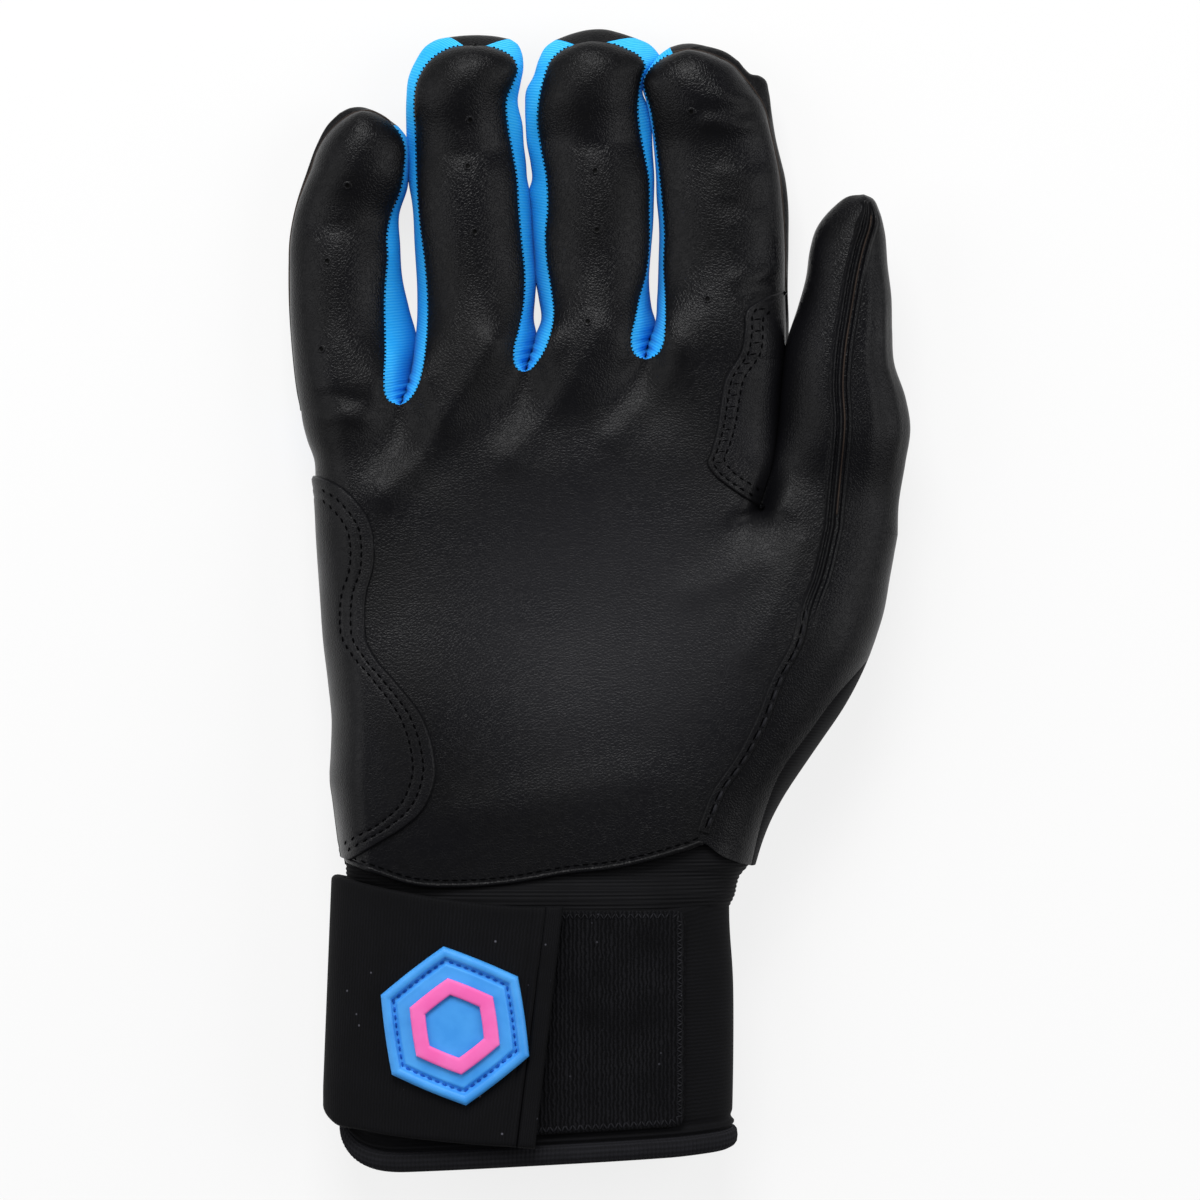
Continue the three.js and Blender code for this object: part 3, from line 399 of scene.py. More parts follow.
# %% Hand lines
CROTCH = np.array([(-44.8, 43.3), (-16.6, 50.8), (10.4, 53.6)])
THUMB_CROTCH = (36.2, 19.8)
LITTLE_BASE, INDEX_BASE = (-67.3, 42.3), (42, 52)  # outer ends of the line of the finger bases
WRIST_Y = -60  # level at which the rows of the hand start
LANES, INDEX_LANE, THUMB_LANE = 5, 3, 4  # a lane is the stretch of the hand below one finger
little_side = through((-60, -57.2), (-54.5, -58), (-45.5, -59.2), (-41, -59.8), (-36.5, -59.6),
                      (-27.5, -59.4), (-18.5, -60.3), (-9.5, -61.4), (0, -62.1), (13, -63), (22, -63.5),
                      (26.6, -64), (31, -64.3), (35.6, -65.9), (40, -67), (42.3, -67.3))
index_side = through((19.8, 36.2), (23.2, 37.1), (28.6, 38.9), (36.9, 40.5), (47.7, 41.4), (52, 42))
thumb_seam = through((-57, 24.2), (-53.1, 25.2), (-45.7, 27.5), (-35.6, 33.1), (-27.7, 37.1), (-18, 40.7),
                     (-9, 45), (-0.7, 46.8), (6.8, 49.3), (14.4, 51.1), (23.2, 52.7), (29.7, 53.3),
                     (39.6, 54), (47.3, 53.6), (55.8, 54.2), (63.5, 55.4), (73.4, 57.2), (82.1, 59.6))
hand_side = through((-60, 35.2), (-54.5, 36.9), (-50, 38.7), (-45.5, 41), (-36.5, 46.6), (-32, 49.5),
                    (-23, 55.1), (-14, 59.4), (-4.7, 62.6), (0, 63.9), (9.5, 65.5), (20.5, 67.3))
palm_hem = through((-57.4, -58.6), (-49.3, -61.4), (-42.3, -63.7), (-30.6, -64.4), (-20.9, -63.7),
                   (-7.2, -61.4), (3.8, -60.1), (12.8, -58), (19.6, -56), (23.9, -54.9), (26.3, -56.8),
                   (30.6, -58.9), (34.2, -60))
palm_base = through((-66, 31.3), (-54, 31.2), (-30, 29.2), (0, 25.5), (25, 23.6), (52, 22.2))
side_z = through((-60, 16), (-20, 13), (30, 11), (110, 9.5))
HEM_LINES = (-44, -27, -8, 12)  # where the lines between the lanes reach the wrist
CREASE_Z = 14  # height of the fold between the thumb and the index finger
print("wrist to the crotch of the thumb:", THUMB_CROTCH[1] - WRIST_Y, "mm")

# %% Height of the palm
def mound(x, y, at_x, at_y, wide, long):
    """A soft hill of height 1."""
    return np.exp(-((x - at_x) / wide) ** 2 - ((y - at_y) / long) ** 2)


def palm_top(x, y):
    """Height of the palm between its seams: the two pads and the hollow."""
    pads = 5 * mound(x, y, 44, -8, 20, 30) + 2.5 * mound(x, y, -42, -22, 16, 26)
    return palm_base(y) + (pads - 2 * mound(x, y, -8, 2, 18, 26))


def hand_level(share):
    """Level between the wrist and the thumb's crotch."""
    return mix(WRIST_Y, THUMB_CROTCH[1], share)


def thumb_line(y):
    """The line from the thumb crotch down to the wrist."""
    return np.interp(y, (WRIST_Y, THUMB_CROTCH[1]), (HEM_LINES[3], THUMB_CROTCH[0]))


def crease_z(y):
    """Height of the fold between the thumb and the index finger, which rises to the crotch."""
    return CREASE_Z + 6 * (1 - smooth(y, THUMB_CROTCH[1], 42))


def lane_edges(y, right_side):
    """Places of the lines between the fingers at height y, from the little side to the right side."""
    lines = [np.interp(y, (WRIST_Y, CROTCH[k][1]), (HEM_LINES[k], CROTCH[k][0])) for k in range(3)]
    lines.append(np.where(y > THUMB_CROTCH[1], index_side(y), thumb_line(y)))
    return np.stack([little_side(y), *lines, right_side(y)])


def valleys(x, y):
    """Soft valleys that run down the palm from the crotches between the fingers."""
    total = 0
    for (x0, y0), hem_x in zip(CROTCH, HEM_LINES):
        below = (y0 - y + np.hypot(y0 - y, 6)) / 2
        away = x - np.interp(y, (WRIST_Y, y0), (hem_x, x0))
        total = total + 3.6 * gentle(y, y0 - 26, y0 + 2) * np.exp(-(away / (3 + 0.6 * below)) ** 2)
    return total

# %% Folds
FOLDS = [  # a line of points, the height of the fold in millimetres and its half width
    ([(-48, 24), (-38.5, 34), (-33.3, 41.9), (-28.5, 50), (-24.5, 57)], 1.1, 3.8),
    ([(-20, 32), (-8.5, 46), (-3, 53), (0.5, 60)], 0.7, 3.6),
    ([(3, 36), (13.5, 48), (18.5, 56)], 0.6, 3.4),
    ([(-64, 40), (-58.5, 41), (-53, 40)], 0.45, 2),
    ([(-65.5, 44.5), (-59, 45.4), (-54, 44.4)], -0.4, 1.7),
    ([(20, 1), (28, 4), (36, 8)], 0.35, 3.5),
    ([(33, -12), (38, -4), (42, 5), (45, 12)], 0.4, 3.5),
    ([(-30, -48), (-10, -44), (10, -40)], 0.4, 5),
    ([(37.3, 110.2), (31, 109.2), (23.5, 109.4)], -0.45, 1.7),
    ([(37.6, 106.6), (31, 106), (24.5, 107)], 0.5, 2),
    ([(36.4, 113), (32, 112.4), (27, 113)], 0.35, 1.8),
    ([(41, 96), (34, 94.6), (28, 95.4)], 0.35, 2),
    ([(41.5, 90), (35, 88.4), (29, 88)], -0.35, 2),
    ([(41.8, 74.5), (36, 72.6), (31, 71.6)], 0.4, 1.8),
    ([(41.8, 71.5), (37, 70), (33, 68)], -0.4, 1.4),
    ([(-40.5, 101), (-31, 99.4), (-22, 101)], -0.35, 2.4),
    ([(-12.6, 103), (-2, 101.6), (9, 103)], -0.35, 2.4),
    ([(-67.5, 84), (-58, 83), (-49, 85)], -0.3, 2.4),
]


def near(x, y, points):
    """Distance of each place from a chain of points."""
    best = np.full(np.shape(x), 1e9)
    for (ax, ay), (bx, by) in zip(points, points[1:]):
        dx, dy = bx - ax, by - ay
        t = np.clip(((x - ax) * dx + (y - ay) * dy) / (dx * dx + dy * dy), 0, 1)
        best = np.minimum(best, np.hypot(x - ax - t * dx, y - ay - t * dy))
    return best


def folds(x, y):
    """Soft folds and creases that use has left in the leather."""
    return sum(height * np.exp(-(near(x, y, points) / half) ** 2) for points, height, half in FOLDS)


print("folds:", len(FOLDS))

# %% Palm
def front_z(lane, turn, x, y, top, dome):
    """Height of the palm side. turn runs across a lane from 0 to pi; dome is 0 on the palm and 1 on a finger,
    where the leather falls to its seams as on a tube."""
    right = turn > np.pi / 2
    tube = 1 - np.sin(turn)
    gap = np.clip(np.where(right, lane, lane - 1), 0, 2)
    soft = mix(tube, np.cos(turn) ** 2, 0.6)
    fall = mix(valleys(x, y), (3.8 + 1.6 * smooth(y - CROTCH[gap, 1], 0, 14)) * soft, dome)
    little = (lane == 0) & ~right
    fall = np.where(little, mix(valleys(x, y), 0, dome) + (top - side_z(y)) * tube, fall)
    crease = crease_z(y) - 3 * smooth(y, 40, 75)
    edge = np.where(y > THUMB_CROTCH[1], index_side(y), thumb_line(y))
    below = np.maximum(THUMB_CROTCH[1] - y, 0)
    pinch = np.exp(-((x - edge) / (2.4 + 0.9 * below)) ** 2 - below / 3.2)
    pinch = mix(pinch, np.where(right | (lane == THUMB_LANE), tube, 0), smooth(y, THUMB_CROTCH[1], 34))
    fall = fall + np.where(lane >= INDEX_LANE, (top - crease) * pinch, 0)
    index_edge_side = (lane == INDEX_LANE) & right & (dome > 0)
    fall = np.where(index_edge_side, mix(fall, (top - crease) * tube, dome), fall)
    return top + folds(x, y) - fall


def thumb_base(x):
    """The line across the base of the thumb, which falls to the side."""
    return THUMB_CROTCH[1] - 0.185 * np.maximum(0, x - THUMB_CROTCH[0])


LOW = 0.72  # share of the rows of the hand that lies below the thumb's crotch
EDGE = 0.0001  # keeps a point that lies on the border of a cut


def hand_rows(across, along, right_side, hem):
    """Lane, turn, x and y of a panel of the hand: from the hem to the thumb, then to the finger bases."""
    lane = np.minimum((across * LANES).astype(int), THUMB_LANE)
    share = across * LANES - lane
    quarter = (lane == THUMB_LANE) & (right_side is thumb_seam)
    swing = np.where(quarter, share * np.pi / 2, share * np.pi)
    part = np.where(quarter, 1 - np.cos(swing), (1 - np.cos(swing)) / 2)
    low, high = np.clip(along / LOW, 0, 1), np.clip((along - LOW) / (1 - LOW), 0, 1)
    edges = lane_edges(hand_level(low), right_side)
    pick = np.arange(len(across))
    x = mix(edges[lane, pick], edges[lane + 1, pick], part)
    y = mix(hem(x), np.where(lane == THUMB_LANE, thumb_base(x), THUMB_CROTCH[1]), low)
    ends = np.array([LITTLE_BASE, *CROTCH, INDEX_BASE, INDEX_BASE])
    left_y, right_y = (mix(THUMB_CROTCH[1], ends[lane + k, 1], high) for k in (0, 1))
    tops = [lane_edges(v, right_side) for v in (left_y, right_y)]
    high_x = mix(tops[0][lane, pick], tops[1][np.minimum(lane + 1, THUMB_LANE), pick], part)
    upper = high > 1e-4
    return lane, swing, np.where(upper, high_x, x), np.where(upper, mix(left_y, right_y, part), y)


def palm_place(across, along):
    lane, turn, x, y = hand_rows(across, along, thumb_seam, palm_hem)
    return stack(x, y, front_z(lane, turn, x, y, palm_top(x, y), 0))


def above_thumb(across, along):
    """The part of the grid above the base of the thumb, which the palm doesn't have."""
    return (across > THUMB_LANE / LANES + EDGE) & (along > LOW + EDGE)


palm = panel("palm_leather", 150, 125, palm_place, PALM_LEATHER, drop=above_thumb)
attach(palm, "hand")
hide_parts("palm_panel")
print("palm:", len(palm.data.polygons), "faces")

# %% [markdown]
# ## Fingers
# A finger is four panels: the palm leather in front, a side strip left and right and the back. In front,
# two seams run up from the crotches and meet over the fingertip. The strips hang from these seams, bulge to
# the outline of the finger and end at the seams of the back. Between two fingers they are blue stretch
# knit; on the outside of the little and the index finger they are part of the black back. The back turns
# over the tip and meets the leather there. Each line is measured from the photograph.

# %% Finger lines
FINGERS = {
    "little": dict(
        lane=0, round=98, split=((-58.3, 107.6), (-46.5, 106.4)),
        seam_left=line((-67.3, 42.3), (-68.4, 48.6), (-69.1, 54.9), (-69.7, 63), (-69.9, 72), (-69.6, 82),
            (-68.4, 88), (-66.9, 92.3), (-65, 97), (-63.9, 100.4), (-61.2, 104.9), (-58.3, 107.6),
            (-55.6, 109.2), (-53.3, 109.8)),
        seam_right=line((-44.8, 43.3), (-45.9, 43.55), (-47.3, 44.2), (-48.2, 45.9), (-48.4, 48.6),
            (-48.2, 54.9), (-48.4, 61.2), (-48.5, 65.4), (-48.3, 70.7), (-47.8, 77), (-48, 81.5),
            (-47.1, 86.4), (-45, 91.5), (-44, 97), (-44, 102.2), (-46.4, 106.5), (-49, 108.6),
            (-51.3, 109.6), (-53.3, 109.8)),
        rim_left=line((-67.5, 42.3), (-68.6, 50), (-69.4, 58), (-70, 67.5), (-70, 77), (-69.5, 83.3),
            (-68.2, 89.6), (-66.2, 95.9), (-63.9, 102.2), (-61.2, 107.1), (-58.6, 109.6)),
        nose=line((-58.6, 109.6), (-56.3, 110.7), (-53.8, 110.9), (-50.4, 109.7), (-47.5, 107.6),
            (-45.2, 106.1)),
        rim_right=line((-44.8, 43.3), (-44.1, 45.2), (-43.1, 47.5), (-42.4, 51.3), (-41.5, 57.3),
            (-43.2, 65.4), (-44.6, 72.5), (-45, 79.4), (-45.2, 86.4), (-43.2, 93.2), (-43, 97), (-43, 101),
            (-43.5, 104), (-45.2, 106.1))),
    "ring": dict(
        lane=1, round=115, split=((-30.6, 124.6), (-25.6, 124.6)),
        seam_left=line((-44.8, 43.3), (-43.3, 43.9), (-41.9, 45.2), (-40.6, 47.4), (-39.4, 51.8),
            (-38.7, 58), (-38.5, 66), (-39.2, 75.9), (-40.3, 84.4), (-40.8, 91), (-41.1, 97), (-41.3, 105),
            (-41.6, 112), (-41, 116.1), (-39.2, 119.7), (-36.6, 122.3), (-33.6, 123.9), (-30.6, 124.5),
            (-28.1, 124.5)),
        seam_right=line((-16.6, 50.8), (-18, 51), (-19.1, 52.4), (-19.3, 55), (-18.1, 60.6), (-17.1, 66.2),
            (-16.9, 73.2), (-17.6, 80.3), (-18.3, 88.7), (-18.7, 95), (-19.8, 101.4), (-20.8, 107),
            (-20.9, 112.5), (-19.4, 116.1), (-18.5, 119.2), (-19.4, 121.5), (-22.4, 123.5), (-25.4, 124.4),
            (-28.1, 124.5)),
        rim_left=line((-44.8, 43.3), (-44.2, 45.2), (-43.3, 47.5), (-42.5, 51.3), (-41.7, 57.3),
            (-41.2, 62), (-41.1, 68.2), (-41.7, 79.4), (-42.3, 89.3), (-43.1, 94), (-43.4, 100),
            (-43.6, 106), (-43.6, 112.5), (-43, 117.9), (-41.4, 121.5), (-38.9, 124.9), (-36.6, 126.2),
            (-34.2, 126.7)),
        nose=line((-34.2, 126.7), (-30.6, 127.1), (-27.1, 127.2), (-23.2, 126.9), (-20.2, 126.3)),
        rim_right=line((-16.6, 50.8), (-15.9, 53.2), (-15.1, 55.7), (-14.3, 59.2), (-14.8, 62.7),
            (-14.5, 67.6), (-14.2, 72.2), (-14.5, 76), (-14.9, 82), (-15.3, 88), (-15.7, 91.9), (-16.3, 95),
            (-16.5, 97.9), (-17.1, 102.8), (-17.4, 107), (-18.4, 112.5), (-17.8, 116), (-17.1, 120.5),
            (-17.6, 123.3), (-18.6, 125.2), (-20.2, 126.3))),
    "middle": dict(
        lane=2, round=115, split=((-5.6, 124.9), (1.6, 125.2)),
        seam_left=line((-16.6, 50.8), (-15.2, 51.4), (-13.6, 53.2), (-12.3, 55.2), (-11, 58.5),
            (-10.1, 63.5), (-10.6, 69), (-11.7, 76.1), (-12, 81.7), (-11.5, 87.3), (-11.7, 94.3),
            (-13.1, 102.1), (-13.8, 107.7), (-13.3, 113), (-12.2, 117.5), (-10.8, 121), (-8.4, 123.3),
            (-5.2, 124.8), (-1.8, 125.5)),
        seam_right=line((10.4, 53.6), (9.3, 53.8), (8, 54.5), (7.2, 56.2), (7.1, 58.5), (8, 62.7),
            (9, 67.6), (10.4, 72.5), (11.2, 78.9), (11.2, 87.3), (11.1, 94.3), (10.1, 99.9), (9, 105.6),
            (8.6, 110), (8.8, 113), (9.4, 117), (10.2, 120), (9.2, 121.8), (6.2, 123.6), (1.8, 125.2),
            (-1.8, 125.5)),
        rim_left=line((-16.6, 50.8), (-16, 53.2), (-15.2, 55.7), (-14.4, 59.2), (-13.1, 62.7),
            (-13.6, 67.6), (-14.4, 72.2), (-14.6, 76), (-15, 82), (-15.4, 88), (-15.8, 91.9), (-15.1, 94.5),
            (-15.4, 97.9), (-16.3, 102.8), (-16.6, 107), (-16.7, 111), (-16.4, 114.8), (-14.8, 118),
            (-13.6, 121.7), (-12, 124.6), (-9.9, 126.1)),
        nose=line((-9.9, 126.1), (-6.2, 127.5), (-2.4, 128.4), (1.2, 128.5), (5, 127.6), (8.3, 126.5)),
        rim_right=line((10.4, 53.6), (10.8, 55.7), (11.6, 58.8), (12.6, 61.4), (11.8, 65.5), (11.3, 71.8),
            (11.7, 78.9), (12.2, 84.5), (12.4, 90.1), (12.5, 94.3), (12.1, 101.4), (11.8, 107),
            (11.2, 110.7), (9.8, 114.5), (11, 118.6), (13.9, 121.6), (12.8, 123.5), (11, 125.3),
            (8.3, 126.5))),
    "index": dict(
        lane=3, round=112, split=((16.6, 122.7), (30.5, 119.9)),
        seam_left=line((10.4, 53.6), (11.8, 53.9), (13.5, 55), (14.5, 57.2), (14.9, 60.6), (15, 66.2),
            (14.6, 75.4), (14.8, 81.7), (14.3, 89.4), (13.6, 96.4), (12.5, 104.9), (11.5, 110.5),
            (10.6, 113.5), (10, 116), (11.6, 119.2), (14.2, 121.4), (17.2, 122.9), (20.2, 123.6)),
        seam_right=line((42, 52), (42.2, 60), (42, 70), (41.9, 80), (41.4, 89), (40.6, 96), (39.7, 100.6),
            (38.3, 106.7), (37.3, 110.6), (35.2, 114.2), (32.6, 117.5), (30.5, 119.9), (26.8, 122),
            (23, 123.2), (20.2, 123.6)),
        rim_left=line((10.4, 53.6), (10.7, 55.7), (11.5, 58.8), (12.5, 61.4), (13.1, 67.6), (13.4, 75.4),
            (13.5, 84.5), (13, 90.1), (12.8, 96.4), (12.4, 101.5), (11.8, 107), (10.6, 112.5), (9.7, 116),
            (11.3, 119.6), (13.6, 122.6), (16, 124.4)),
        nose=line((16, 124.4), (18.4, 125.1), (20.5, 125.3), (24.6, 124.6), (28.9, 123.2), (31.6, 121.2)),
        rim_right=line((42.1, 52), (42.8, 60), (42.6, 70), (42.8, 80), (42.7, 90), (41.9, 95.9), (41.1, 99),
            (39.9, 104), (39, 110), (38.4, 114.4), (37.6, 117), (36, 118.1), (34.3, 118.4), (33.2, 119.3),
            (31.6, 121.2))),
}
BLUE_SIDES = ("little right", "ring left", "ring right", "middle left", "middle right", "index left")
TIP_Z, NOSE_Z, RIM_Z, BACK_Z = 13, 9, 9, 5.5  # heights of tip, nose, outline and seam of the back

# %% [markdown]
# Front panels. A row runs from the left seam to the right seam and is domed between them. Over the last
# stretch it sinks towards the tip like the end of an egg.

# %% Finger fronts
def finger_top(finger, x, y, along):
    """Height of a finger between its seams, with a full pad at the tip and a dip below it."""
    tip, below = finger["round"], finger["round"] - 12
    own = 18.5 + 2 * (1 - smooth(y, 45, tip))
    pad = 1.1 * gentle(y, below, tip) - 0.9 * mound(0, y, 0, below, 1, 8)
    return mix(palm_top(x, y), own + pad, gentle(along, 0.03, 0.36))


def finger_z(finger, turn, x, y, along):
    """Height of a finger's leather, which is a tube from a little above the palm."""
    lane = np.full(len(x), finger["lane"])
    return front_z(lane, turn, x, y, finger_top(finger, x, y, along), gentle(along, 0.04, 0.3))


def front_place(finger):
    """The rule of a finger's front: its leather, rounded off from the height at which the tip starts."""
    def place(across, along):
        turn = across * np.pi
        left, right = finger["seam_left"](along), finger["seam_right"](along)
        x, y = mix(left, right, ((1 - np.cos(turn)) / 2)[:, None]).T
        z = finger_z(finger, turn, x, y, along)
        end = finger["seam_left"](np.array([1.0]))[0, 1]
        over = np.clip((y - finger["round"]) / (end - finger["round"]), 0, 1)
        return stack(x, y, TIP_Z + (z - TIP_Z) * np.sqrt(1 - over ** 2) ** 0.8)
    return place


def bend(piece, name):
    """Bakes the piece's place into its mesh. The ends of the finger's base are worked out, but not used."""
    finger = FINGERS[name]
    a, b = finger["seam_left"](np.zeros(1))[0], finger["seam_right"](np.zeros(1))[0]
    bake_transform(piece)


for name, finger in FINGERS.items():
    front = panel(name + "_leather", 34, 110, front_place(finger), PALM_LEATHER)
    bend(front, name)
    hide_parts(name + "_front")
print("finger fronts:", len(FINGERS))

# %% [markdown]
# Sides. A band runs round each finger, up one side, over the tip and down the other. Three lines carry it:
# the seam of the leather, the outline of the finger and the seam of the back, which lies a little further
# in and lower. A row across the band is the simplest smooth bow through the three. The blue strips end in
# points beside the tip, where the black back comes over the nose of the finger.

# %% Side bands
PART = 120  # steps of a side of a band
EVENED = 15  # steps over which its inward direction is evened out
PLEAT, PLEAT_LENGTH = 0.3, 2.2  # height of the pleats at a crotch, and from one to the next
BAND_STEP = 0.7  # millimetres to one step of a band


def band_lines(name):
    """The three lines of the band round a finger, in steps: left side, nose and right side."""
    finger = FINGERS[name]
    fronts = front_place(finger)
    tests = np.linspace(0.5, 1, 800)
    stops = [tests[np.argmin(np.linalg.norm(finger["seam_" + side](tests) - point, axis=1))]
             for side, point in zip(("left", "right"), finger["split"])]
    steps = np.linspace(0, 1, PART)
    half = steps[:PART // 2] * 2
    left = np.concatenate([steps * stops[0], mix(stops[0], 1, half)])
    right = np.concatenate([steps * stops[1], mix(stops[1], 1, half)])[::-1]
    seam = np.concatenate([fronts(np.zeros(len(left)), left), fronts(np.ones(len(right)), right)])
    seam[:, 2] -= 0.25
    outline = np.concatenate([finger["rim_left"](steps), finger["nose"](steps),
                              finger["rim_right"](steps[::-1])])
    up = np.concatenate([steps, np.ones(PART), steps[::-1]])
    black_left, black_right = (f"{name} {side}" not in BLUE_SIDES for side in ("left", "right"))
    black = np.repeat([black_left, False, black_right], PART)
    held = np.where(black, smooth(up, 0, 0.15), 1)
    rim_z = mix(seam[:, 2], np.where(black, side_z(outline[:, 1]) - 1.5, RIM_Z), held)
    rim = on(outline, mix(rim_z, NOSE_Z, smooth(up, 0.8, 1)))
    tangent = np.gradient(outline, axis=0)
    inward = stack(tangent[:, 1], -tangent[:, 0]) / (np.linalg.norm(tangent, axis=1)[:, None] + 1e-9)
    kernel = np.ones(EVENED) / EVENED
    padded = (np.pad(column, EVENED // 2, mode="edge") for column in inward.T)
    inward = stack(*(np.convolve(column, kernel, mode="valid") for column in padded))
    inset = 1.6 * smooth(up, 0, 0.06) + 0.8 * smooth(up, 0.9, 1)
    low = outline + inward * inset[:, None]
    return seam, rim, on(low, np.minimum(mix(seam[:, 2], BACK_Z, held), rim[:, 2]))


def at_step(rows, step):
    """Places between the rows of a line, by a step that needn't be whole."""
    return stack(*(np.interp(step, np.arange(len(rows)), column) for column in rows.T))


def band_place(name, first, last, pleat):
    """Part of a band, from the first to the last of its steps."""
    lines = band_lines(name)

    def place(across, along):
        s = (1 - across)[:, None]
        step = mix(first, last, along)
        a, m, b = (at_step(rows, step) for rows in lines)
        points = a * (1 - s) ** 2 + 2 * s * (1 - s) * (2 * m - (a + b) / 2) + b * s ** 2
        run = np.minimum(step, 3 * PART - 1 - step) * BAND_STEP
        pleats = (1 + np.cos(run * 2 * np.pi / PLEAT_LENGTH)) * (1 - smooth(run, 4, 10))
        wave = pleat * pleats * np.sin(s[:, 0] * np.pi)
        inwards = m[:, :2] - a[:, :2]
        points[:, :2] += inwards / (np.linalg.norm(inwards, axis=1)[:, None] + 0.2) * wave[:, None]
        return points
    return place


PARTS = {"left": (0, PART - 1), "nose": (PART - 1, 2 * PART), "right": (2 * PART, 3 * PART - 1)}
for name in FINGERS:
    for side, (first, last) in PARTS.items():
        blue = f"{name} {side}" in BLUE_SIDES
        rows = 40 if side == "nose" else 200
        strip = panel(f"{name}_strip_{side}", 12, rows, band_place(name, first, last, PLEAT * blue),
                      BLUE_KNIT if blue else BACK_LEATHER, thickness=0.9)
        bend(strip, name)
        if blue:
            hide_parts(f"{name}_gusset_{side}")
print("side bands: 4, in 3 parts each")

# %% [markdown]
# Backs. A back is stretched over the lower line of the band: its rows run from the left side to the right
# side and its last row is the nose. The inside of such a patch follows from its four edges, and is let down
# to the table.

# %% Finger backs
def back_place(name):
    low = band_lines(name)[2]

    def place(across, along):
        s = 1 - across
        left, right = at_step(low, along * (PART - 1)), at_step(low, (3 - along) * PART - 1 + along)
        tip = at_step(low, mix(PART - 1, 2 * PART, s))
        base_a, base_b, tip_a, tip_b = low[0], low[-1], low[PART - 1], low[2 * PART]
        u, v = s[:, None], along[:, None]
        base, flat_tip = mix(base_a, base_b, u), mix(tip_a, tip_b, u)
        patch = mix(left, right, u) + mix(base, tip, v) - mix(base, flat_tip, v)
        round_u = np.minimum(1, 1.1 * np.sqrt(np.maximum(np.sin(s * np.pi), 0)))
        round_v = np.minimum(1, 1.1 * np.sqrt(np.clip((1 - along) / 0.12, 0, 1)))
        patch[:, 2] = mix(patch[:, 2], 0.8 * smooth(along, 0, 0.1), round_u * round_v)
        return patch
    return place


for name in FINGERS:
    back = panel(name + "_back_leather", 30, 110, back_place(name), BACK_LEATHER)
    bend(back, name)
    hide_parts(name + "_back")
print("finger backs: 4")

# %% [markdown]
# ## Thumb
# The thumb is sewn from two leathers: the palm leather, which comes round from the crease beside the index
# finger, and an outer leather. They meet in a welted seam that runs from the tip down to the wrist.

# %% Thumb lines
thumb_left = line((36.2, 19.8), (36.6, 23.2), (38.1, 28.6), (39.7, 36.9), (40.8, 47.7), (42, 56.9),
                  (44.8, 65.6), (46.6, 72.2), (47.5, 78.5), (48.8, 82.9), (52.6, 87.8), (55.9, 90.2),
                  (59.4, 90.6))
thumb_welt = line((52.06, 16.87), (52.7, 23.2), (53.3, 29.7), (54, 39.6), (53.6, 47.3), (54.2, 55.8),
                  (55.4, 63.5), (57.2, 73.6), (58.5, 79), (59.8, 83.2), (60.3, 87.2), (59.4, 90.6))
thumb_right = line((67.2, 14.1), (67.4, 20.5), (68.9, 30.2), (70, 38.5), (68.9, 45), (66.3, 53), (65.9, 60),
                   (65.7, 67.8), (64.9, 74.5), (64.1, 82.9), (63, 86.9), (61.5, 89.7), (59.4, 90.6))
thumb_top = through((14, 26.9), (30, 27.4), (45, 27.1), (60, 26), (81, 23.4))
thumb_bottom = through((13, 6), (40, 9), (81, 13))
SIDE_Z, THUMB_TIP_Z = 16, 19  # heights of the side of the hand and of the tip
THUMB_ROUND, THUMB_ROUND_LENGTH = 80, 10.6  # where the thumb starts to round off, and how far to its tip


def thumb_end(points):
    """Sinks the last stretch of the thumb to its tip."""
    over = np.clip((points[:, 1] - THUMB_ROUND) / THUMB_ROUND_LENGTH, 0, 1)
    points[:, 2] = THUMB_TIP_Z + (points[:, 2] - THUMB_TIP_Z) * np.sqrt(1 - over ** 2) ** 0.9
    return points


def bow(a, b, share, first):
    """A quarter turn from a to b: level at a if first, otherwise upright at a."""
    angle = share * np.pi / 2
    wide, tall = (np.sin(angle), 1 - np.cos(angle)) if first else (1 - np.cos(angle), np.sin(angle))
    return stack(mix(a[:, 0], b[:, 0], wide), mix(a[:, 1], b[:, 1], wide), mix(a[:, 2], b[:, 2], tall))


def welt_z(along):
    """Height of the thumb's seam, from the palm to the thumb's own top."""
    x, y = thumb_welt(along).T
    return mix(palm_top(x, y) + folds(x, y), thumb_top(y), gentle(along, 0, 0.32))


def thumb_front_place(across, along):
    edge = thumb_left(along)
    low = on(edge, crease_z(edge[:, 1]))
    points = thumb_end(bow(low, on(thumb_welt(along), welt_z(along)), across, False))
    x, y = points[:, 0], points[:, 1]
    lane = np.full(len(x), THUMB_LANE)
    on_palm = front_z(lane, across * np.pi / 2, x, y, palm_top(x, y), 0)
    points[:, 2] = mix(on_palm, points[:, 2], smooth(along, 0, 0.22))
    return points


def thumb_outer_place(across, along):
    left, right = thumb_left(along), thumb_right(along)
    bottom_z = thumb_bottom(right[:, 1])
    seam = on(thumb_welt(along), welt_z(along))
    outside = on(right, mix(SIDE_Z, (welt_z(along) + bottom_z) / 2 - 1, smooth(along, 0, 0.2)))
    bottom = on((left + right) / 2, bottom_z)
    low = on(left, crease_z(left[:, 1]) + 0.1)
    part = np.clip(across * 3, 0, 3)
    fold = 0.55 * np.exp(-((part - 0.3) / 0.09) ** 2) + 0.4 * np.exp(-((part - 0.58) / 0.1) ** 2)
    fold = fold * smooth(along, 0.04, 0.3) * (1 - smooth(along, 0.55, 0.85))
    corners = (seam, outside, bottom, low)
    arcs = [bow(corners[k], corners[k + 1], np.clip(part - k, 0, 1), k != 1) for k in range(3)]
    points = thumb_end(np.choose(np.minimum(part.astype(int), 2)[:, None], arcs))
    lean = np.clip(part, 0, 1) * np.pi / 2
    return points + stack(fold * np.sin(lean), 0, fold * np.cos(lean))


def bend_thumb(piece):
    """Bakes the piece's place into its mesh."""
    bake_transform(piece)


